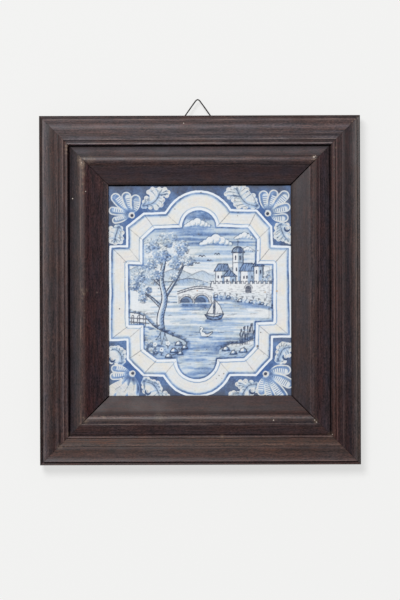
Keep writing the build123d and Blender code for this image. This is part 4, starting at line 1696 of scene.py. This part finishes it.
        # Dirt and painted shade in the quirks and the gap before the frieze; dirt in the mitres and pores.
        dirt_and_shade = sh.larger(self.lines(sh, inset, self.dirt_and_shade_lines), joint)
        pits = sh.span(fine, 0.36, 0.26, 0, 0.8)
        base = sh.mix(sh.larger(dirt_and_shade, pits), base, self.dirt_and_shade)
        # Stain with painted light and shade of the profile's faces, per side; the tone also scales the
        # shine.
        tone_shift, tone = self.tone_shift(sh, inset, rail)
        base = sh.mix(1, base, tone_shift, "MULTIPLY")
        rag = sh.noise(at, 620, 4, 0.75)
        spots = self.marked(sh, self.on_rail(self.worn_spots, rail), rag, 0.9)
        spots = sh.times(spots, sh.span(rag, 0.44, 0.58, 0.15, 1))
        base = sh.mix(sh.times(spots, sh.span(streak, 0.4, 0.54, 0.4, 0.95)), base, self.gold)
        chips = self.marked(sh, self.on_rail(self.chips, rail), rag, 0.5)
        base = sh.mix(chips, base, self.fleck)
        matt = sh.larger(dirt_and_shade, sh.span(cloud, 0.35, 0.65, 0, 0.35))
        sh.surface_set(
            Base_Color=base, Roughness=sh.blend(matt, sh.span(streak, 0.35, 0.65, 0.44, 0.58), 0.8),
            Specular_IOR_Level=sh.times(tone, sh.span(dirt_and_shade, 0, 1, 0.34, 0.05)),
        )
        relief = sh.plus(fibre, sh.times(broad, 1.5))
        relief = sh.plus(relief, sh.times(fine, 0.3))
        sh.bump(relief, 0.14 * MM, 0.8)
        return sh.material

    def tone_shift(self, sh: Shader, inset: Socket, rail: Rail) -> tuple[Socket, Socket]:
        """Colour that multiplies the wood of one side, and its plain tone: the stain, with painted light and
        shade.

        Args:
            sh: the material being built.
            inset: distance from the outer edge.
            rail: which side it is for.

        Returns:
            The colour and the tone, both as shares of the wood's own.
        """
        stops = []
        for band in getattr(self, f"{rail.value}_bands"):
            part = band.tone / self.full_tone
            stops.append((band.inset, (part * band.red, part, part * band.blue, part)))
        colour, tone = sh.ramp(inset, stops, -2, 66)
        inputs = {0: colour, "Scale": self.full_tone}
        lifted = sh.node("VectorMath", inputs, operation="SCALE")
        return lifted.outputs[0], sh.times(tone, self.full_tone)

    def grain(self, sh: Shader, rail: Rail, scales: tuple[float, float], seed: float) -> Socket:
        """Noise drawn out along a rail.

        Args:
            sh: the material being built.
            rail: which side it is for.
            scales: pattern units in a metre, along the rail and across it.
            seed: moves the pattern.

        Returns:
            The noise, from 0 to 1.
        """
        along, across = scales
        scale = (along, across, across) if rail.runs_across else (across, along, across)
        return sh.noise(sh.coordinates(scale, (seed, seed, 0)), 1, 4, 0.65, 0.3)


@dataclass(frozen=True)
class BareBoard:
    """Thin unstained board, darkened by age."""

    pale: Colour = srgb(142, 108, 78)
    dark: Colour = srgb(96, 68, 48)

    def material(self) -> bpy.types.Material:
        """Build the board's wood."""
        sh = Shader("bare_board")
        rings = sh.noise(sh.coordinates((160, 9, 160)), 1, 4, 0.6, 0.6)
        tone_shift = sh.noise(sh.coordinates(), 14, 4, 0.6)
        colour = sh.mix(sh.span(rings, 0.3, 0.7), self.dark, self.pale)
        colour = sh.mix(sh.span(tone_shift, 0.5, 0.75, 0, 0.6), colour, srgb(70, 52, 40))
        sh.surface_set(Base_Color=colour, Roughness=0.8)
        sh.bump(rings, 0.15 * MM, 0.6)
        return sh.material


@dataclass(frozen=True)
class DarkIron:
    """Blackened iron with a little rust."""

    name: str
    scale: float
    black: Colour = srgb(14, 12, 13)
    rust: Colour = srgb(56, 40, 34)

    def material(self) -> bpy.types.Material:
        """Build the iron."""
        sh = Shader(self.name)
        blotch = sh.noise(sh.coordinates(), self.scale, 4, 0.65)
        colour = sh.mix(sh.span(blotch, 0.5, 0.7), self.black, self.rust)
        rough = sh.span(blotch, 0.4, 0.7, 0.6, 0.9)
        sh.surface_set(Base_Color=colour, Roughness=rough, Metallic=0.3)
        sh.bump(blotch, 0.05 * MM, 0.5)
        return sh.material


def choose(obj: bpy.types.Object, *others: bpy.types.Object) -> None:
    """Select an object and those that go with it, and make it the active one."""
    bpy.ops.object.select_all(action="DESELECT")
    for chosen in (obj, *others):
        chosen.select_set(True)
    bpy.context.view_layer.objects.active = obj


def put(name: str, data: bpy.types.ID) -> bpy.types.Object:
    """Make an object and put it in the scene."""
    obj = bpy.data.objects.new(name, data)
    bpy.context.scene.collection.objects.link(obj)
    return obj


def dress(obj: bpy.types.Object, material: bpy.types.Material) -> None:
    """Give an object one material all over."""
    obj.data.materials.clear()
    obj.data.materials.append(material)


@dataclass
class PaintedTile:
    """The tile: a slab with a softly rounded face edge, and the painting on it."""

    columns: int = 284
    rows: int = 327
    edge_radius: float = 1.2 * MM
    side_slope: float = 6.0
    edge_steps: int = 4
    smooth_angle: float = 40.0
    glaze: PaintedGlaze = field(default_factory=PaintedGlaze)

    def build(self) -> None:
        """Model the slab, paint it and put it in the node's place."""
        low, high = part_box("tile")
        slope = math.tan(math.radians(self.side_slope))
        lip = self.edge_radius * math.cos(math.radians(self.side_slope))
        half = Vector((high.x, high.y)) - Vector((lip, lip))
        bpy.ops.object.select_all(action="DESELECT")
        bpy.ops.mesh.primitive_grid_add(
            x_subdivisions=self.columns, y_subdivisions=self.rows, size=1, location=(0, 0, high.z),
        )
        tile = bpy.context.active_object
        tile.name = "glazed_tile"
        bpy.ops.object.mode_set(mode="EDIT")
        bpy.ops.mesh.select_all(action="SELECT")
        bpy.ops.transform.resize(value=(2 * half.x, 2 * half.y, 1))
        bpy.ops.mesh.select_all(action="DESELECT")
        bpy.ops.mesh.select_non_manifold()
        now = half.copy()
        level = high.z
        turns = np.radians(np.linspace(90, -self.side_slope, self.edge_steps + 1))[1:]
        rings = [
            (
                half + Vector((1, 1)) * self.edge_radius * math.cos(turn),
                high.z - self.edge_radius * (1 - math.sin(turn)),
            ) for turn in turns
        ]
        fall = rings[-1][1] - low.z
        rings.append((rings[-1][0] - Vector((1, 1)) * fall * slope, low.z))
        for size, height in rings:
            bpy.ops.mesh.extrude_edges_move()
            bpy.ops.transform.translate(value=(0, 0, height - level))
            bpy.ops.transform.resize(value=(size.x / now.x, size.y / now.y, 1))
            now, level = size, height
        bpy.ops.mesh.edge_face_add()
        bpy.ops.mesh.select_all(action="SELECT")
        bpy.ops.mesh.normals_make_consistent(inside=False)
        bpy.ops.object.mode_set(mode="OBJECT")
        bpy.ops.object.transform_apply(location=True, rotation=True, scale=True)
        bpy.ops.object.shade_smooth_by_angle(angle=math.radians(self.smooth_angle))
        self.paint(tile, low, high)
        dress(tile, self.glaze.material(high.z))
        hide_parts("tile")
        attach(tile, BODY)
        log.info("%s: %d faces", tile.name, len(tile.data.polygons))

    def paint(self, tile: bpy.types.Object, low: Vector, high: Vector) -> None:
        """Paint the face on a canvas, and store the paint at the mesh's vertices."""
        width, height = (high.x - low.x) / MM, (high.y - low.y) / MM
        canvas = Landscape(width + 2, height + 2, 0.3, seed=1721)
        cartouche = Cartouche()
        cartouche.measure(canvas)
        for corner in CORNERS:
            corner.paint(canvas)
        canvas.paint_picture()
        cartouche.paint(canvas)
        count = len(tile.data.vertices)
        places = np.empty(count * 3, np.float32)
        tile.data.vertices.foreach_get("co", places)
        x, y = places[0::3] / MM, places[1::3] / MM
        for name in Canvas.FIELDS:
            values = canvas.sample(name, x, y).astype(np.float32)
            stored = tile.data.attributes.new(name, "FLOAT", "POINT")
            stored.data.foreach_set("value", values)


@dataclass
class MouldedFrame:
    """The frame's rails: carcass, sight moulding and outer moulding on each side."""

    wood: AgedWood = field(default_factory=AgedWood)
    arris: float = 0.35 * MM
    sharp_angle: float = 24.0
    flat_angle: float = 0.4
    smooth_angle: float = 35.0
    weld: float = 0.001 * MM
    # A thin leaf under each sight mitre: old glue, and a dark stop that keeps the gap in shade.
    glue_and_shade_leaf: Place = (5.6 * MM, 2.6 * MM, 0.3 * MM)

    def build(self) -> None:
        """Round and age the mouldings, and stain the carcass."""
        outer_low, outer_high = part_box("outer_moulding_left"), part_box("outer_moulding_top")
        half_width, half_height = -outer_low[0].x, outer_high[1].y
        for rail in Rail:
            half, end_half = half_width, half_height
            if rail.runs_across:
                half, end_half = half_height, half_width
            wood = self.wood.material(rail, half, end_half)
            dress(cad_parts[f"carcass_{rail.value}"], wood)
            for kind in ("sight_moulding", "outer_moulding"):
                self.moulding(kind, rail, wood)

    def stop_mitres(self, piece: bpy.types.Object, rail: Rail) -> None:
        """Lay a thin leaf under both of a sight moulding's mitres, over the tile's corners: old glue, and a
        dark stop that stands in for shade in the gap.
        """
        low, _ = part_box(f"sight_moulding_{rail.value}")
        tile_low, tile_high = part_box("tile")
        leaves = []
        for x in (tile_low.x, tile_high.x):
            y = tile_high.y if rail is Rail.TOP else tile_low.y
            turn = math.radians(45 if x * y > 0 else -45)
            bpy.ops.mesh.primitive_cube_add(
                size=1, location=(x, y, low.z + self.glue_and_shade_leaf[2] / 2), rotation=(0, 0, turn),
                scale=self.glue_and_shade_leaf,
            )
            leaves.append(bpy.context.active_object)
        choose(piece, *leaves)
        bpy.ops.object.join()

    def moulding(self, kind: str, rail: Rail, wood: bpy.types.Material) -> None:
        """Turn a packed moulding into a worn one.

        Args:
            kind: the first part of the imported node's name.
            rail: which side it is on.
            wood: its material.
        """
        node = f"{kind}_{rail.value}"
        piece = put(f"worn_{node}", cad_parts[node].data.copy())
        choose(piece)
        bpy.ops.object.mode_set(mode="EDIT")
        bpy.ops.mesh.select_all(action="SELECT")
        bpy.ops.mesh.remove_doubles(threshold=self.weld)
        bpy.ops.mesh.dissolve_limited(angle_limit=math.radians(self.flat_angle))
        bpy.ops.object.mode_set(mode="OBJECT")
        bevel = piece.modifiers.new("worn_arrises", "BEVEL")
        bevel.width = self.arris
        bevel.segments = 2
        bevel.limit_method = "ANGLE"
        bevel.angle_limit = math.radians(self.sharp_angle)
        bevel.use_clamp_overlap = True
        bpy.ops.object.modifier_apply(modifier=bevel.name)
        bpy.ops.object.shade_smooth_by_angle(angle=math.radians(self.smooth_angle))
        if kind == "sight_moulding" and rail.runs_across:
            self.stop_mitres(piece, rail)
        dress(piece, wood)
        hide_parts(node)
        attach(piece, BODY)
        log.info("%s: %d faces", piece.name, len(piece.data.polygons))


@dataclass
class Fixings:
    """The hanging wire and the tacks that hold it."""

    wire_diameter: float = 1.2 * MM
    wire_length: float = 51.9 * MM
    wire_height: float = 6.35 * MM
    route: tuple[Point, ...] = (
        (-17.115, 157.148), (-5.7, 173.53), (-1.6, 178.8), (2.5, 173.53), (13.915, 157.148),
    )

    def build(self) -> None:
        """Lay the wire and blacken the tacks."""
        curve = bpy.data.curves.new("wire_line", "CURVE")
        curve.dimensions = "3D"
        curve.bevel_depth = self.wire_diameter / 2
        curve.bevel_resolution = 4
        curve.resolution_u = 16
        curve.use_fill_caps = True
        spline = curve.splines.new("NURBS")
        spline.points.add(len(self.route) - 1)
        for point, (x, y) in zip(spline.points, self.route):
            point.co = (x * MM, y * MM, self.wire_height, 1)
        spline.order_u = 3
        spline.use_endpoint_u = True
        wire = put("wire_loop", curve)
        wire.data.materials.append(DarkIron("wire_iron", 300).material())
        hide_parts("hanging_wire")
        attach(wire, BODY)
        tack_iron = DarkIron("tack_iron", 500).material()
        for name in ("tack_left", "tack_right"):
            dress(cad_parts[name], tack_iron)
        log.info("%s: %d points", wire.name, len(self.route))


@dataclass
class Studio:
    """Camera, lamps and floor."""

    scale: float = 0.93 * MM
    image_height: int = 600
    image_centre: Point = (200, 300)
    frame_centre: Point = (200.05, 290.2)
    distance: float = 5.0
    front_level: float = 16 * MM
    roll: float = 0.18
    world_strength: float = 0.24
    key_place: Place = (-3, 5.5, 10.2)
    key_power: float = 1260.0
    key_size: float = 4.5
    floor_size: float = 24.0
    floor_colour: Colour = srgb(243, 243, 242)
    floor_own_light: float = 0.72

    def camera(self) -> None:
        """Hang the camera straight above the part, framed as the photograph is."""
        data = bpy.data.cameras.new("camera")
        data.sensor_width = 36
        reach = self.distance - self.front_level
        data.lens = data.sensor_width * reach / (self.image_height * self.scale)
        camera = put("camera", data)
        across = (self.image_centre[0] - self.frame_centre[0]) * self.scale
        up = (self.frame_centre[1] - self.image_centre[1]) * self.scale
        camera.location = (across, up, self.distance)
        camera.rotation_euler = (0, 0, math.radians(-self.roll))
        bpy.context.scene.camera = camera

    def lamps(self) -> None:
        """A soft key light from beyond the top, a little to the left, in an evenly lit room."""
        world = bpy.data.worlds.new("soft_room")
        world.use_nodes = True
        backdrop = world.node_tree.nodes["Background"]
        backdrop.inputs["Color"].default_value = (1, 1, 1, 1)
        backdrop.inputs["Strength"].default_value = self.world_strength
        bpy.context.scene.world = world
        key = bpy.data.lights.new("key", "AREA")
        key.shape = "SQUARE"
        key.size = self.key_size
        key.energy = self.key_power
        lamp = put("key", key)
        lamp.location = self.key_place
        aim = -lamp.location
        lamp.rotation_euler = aim.to_track_quat("-Z", "Y").to_euler()

    def floor(self) -> None:
        """A plain pale floor that keeps the part's shadow."""
        bpy.ops.object.select_all(action="DESELECT")
        bpy.ops.mesh.primitive_plane_add(size=self.floor_size, location=(0, 0, 0))
        floor = bpy.context.active_object
        floor.name = "studio_floor"
        sh = Shader("pale_floor")
        sh.surface_set(Base_Color=self.floor_colour, Roughness=0.95, Specular_IOR_Level=0)
        seen = sh.node("LightPath").outputs
        looked_at = sh.larger(seen["Is Camera Ray"], seen["Is Glossy Ray"])
        looked_at = sh.larger(looked_at, seen["Is Transmission Ray"])
        own_light = sh.times(looked_at, self.floor_own_light)
        plain = sh.node("Emission", {"Color": self.floor_colour, "Strength": 1})
        inputs = {0: own_light, 1: sh.surface.outputs["BSDF"], 2: plain.outputs["Emission"]}
        sh.feed(sh.output, {"Surface": sh.node("MixShader", inputs).outputs["Shader"]})
        dress(floor, sh.material)

    def build(self) -> None:
        """Set up everything that isn't the part."""
        self.camera()
        self.lamps()
        self.floor()
        bpy.context.scene.view_settings.view_transform = "Standard"
        log.info("studio ready")


def main() -> None:
    """Dress the part piece by piece, and set up the studio."""
    logging.basicConfig(level=logging.INFO, format="%(name)s: %(message)s")
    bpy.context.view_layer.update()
    Fixings().build()
    PaintedTile().build()
    MouldedFrame().build()
    dress(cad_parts["back_board"], BareBoard().material())
    Studio().build()


if __name__ == "__main__":
    main()
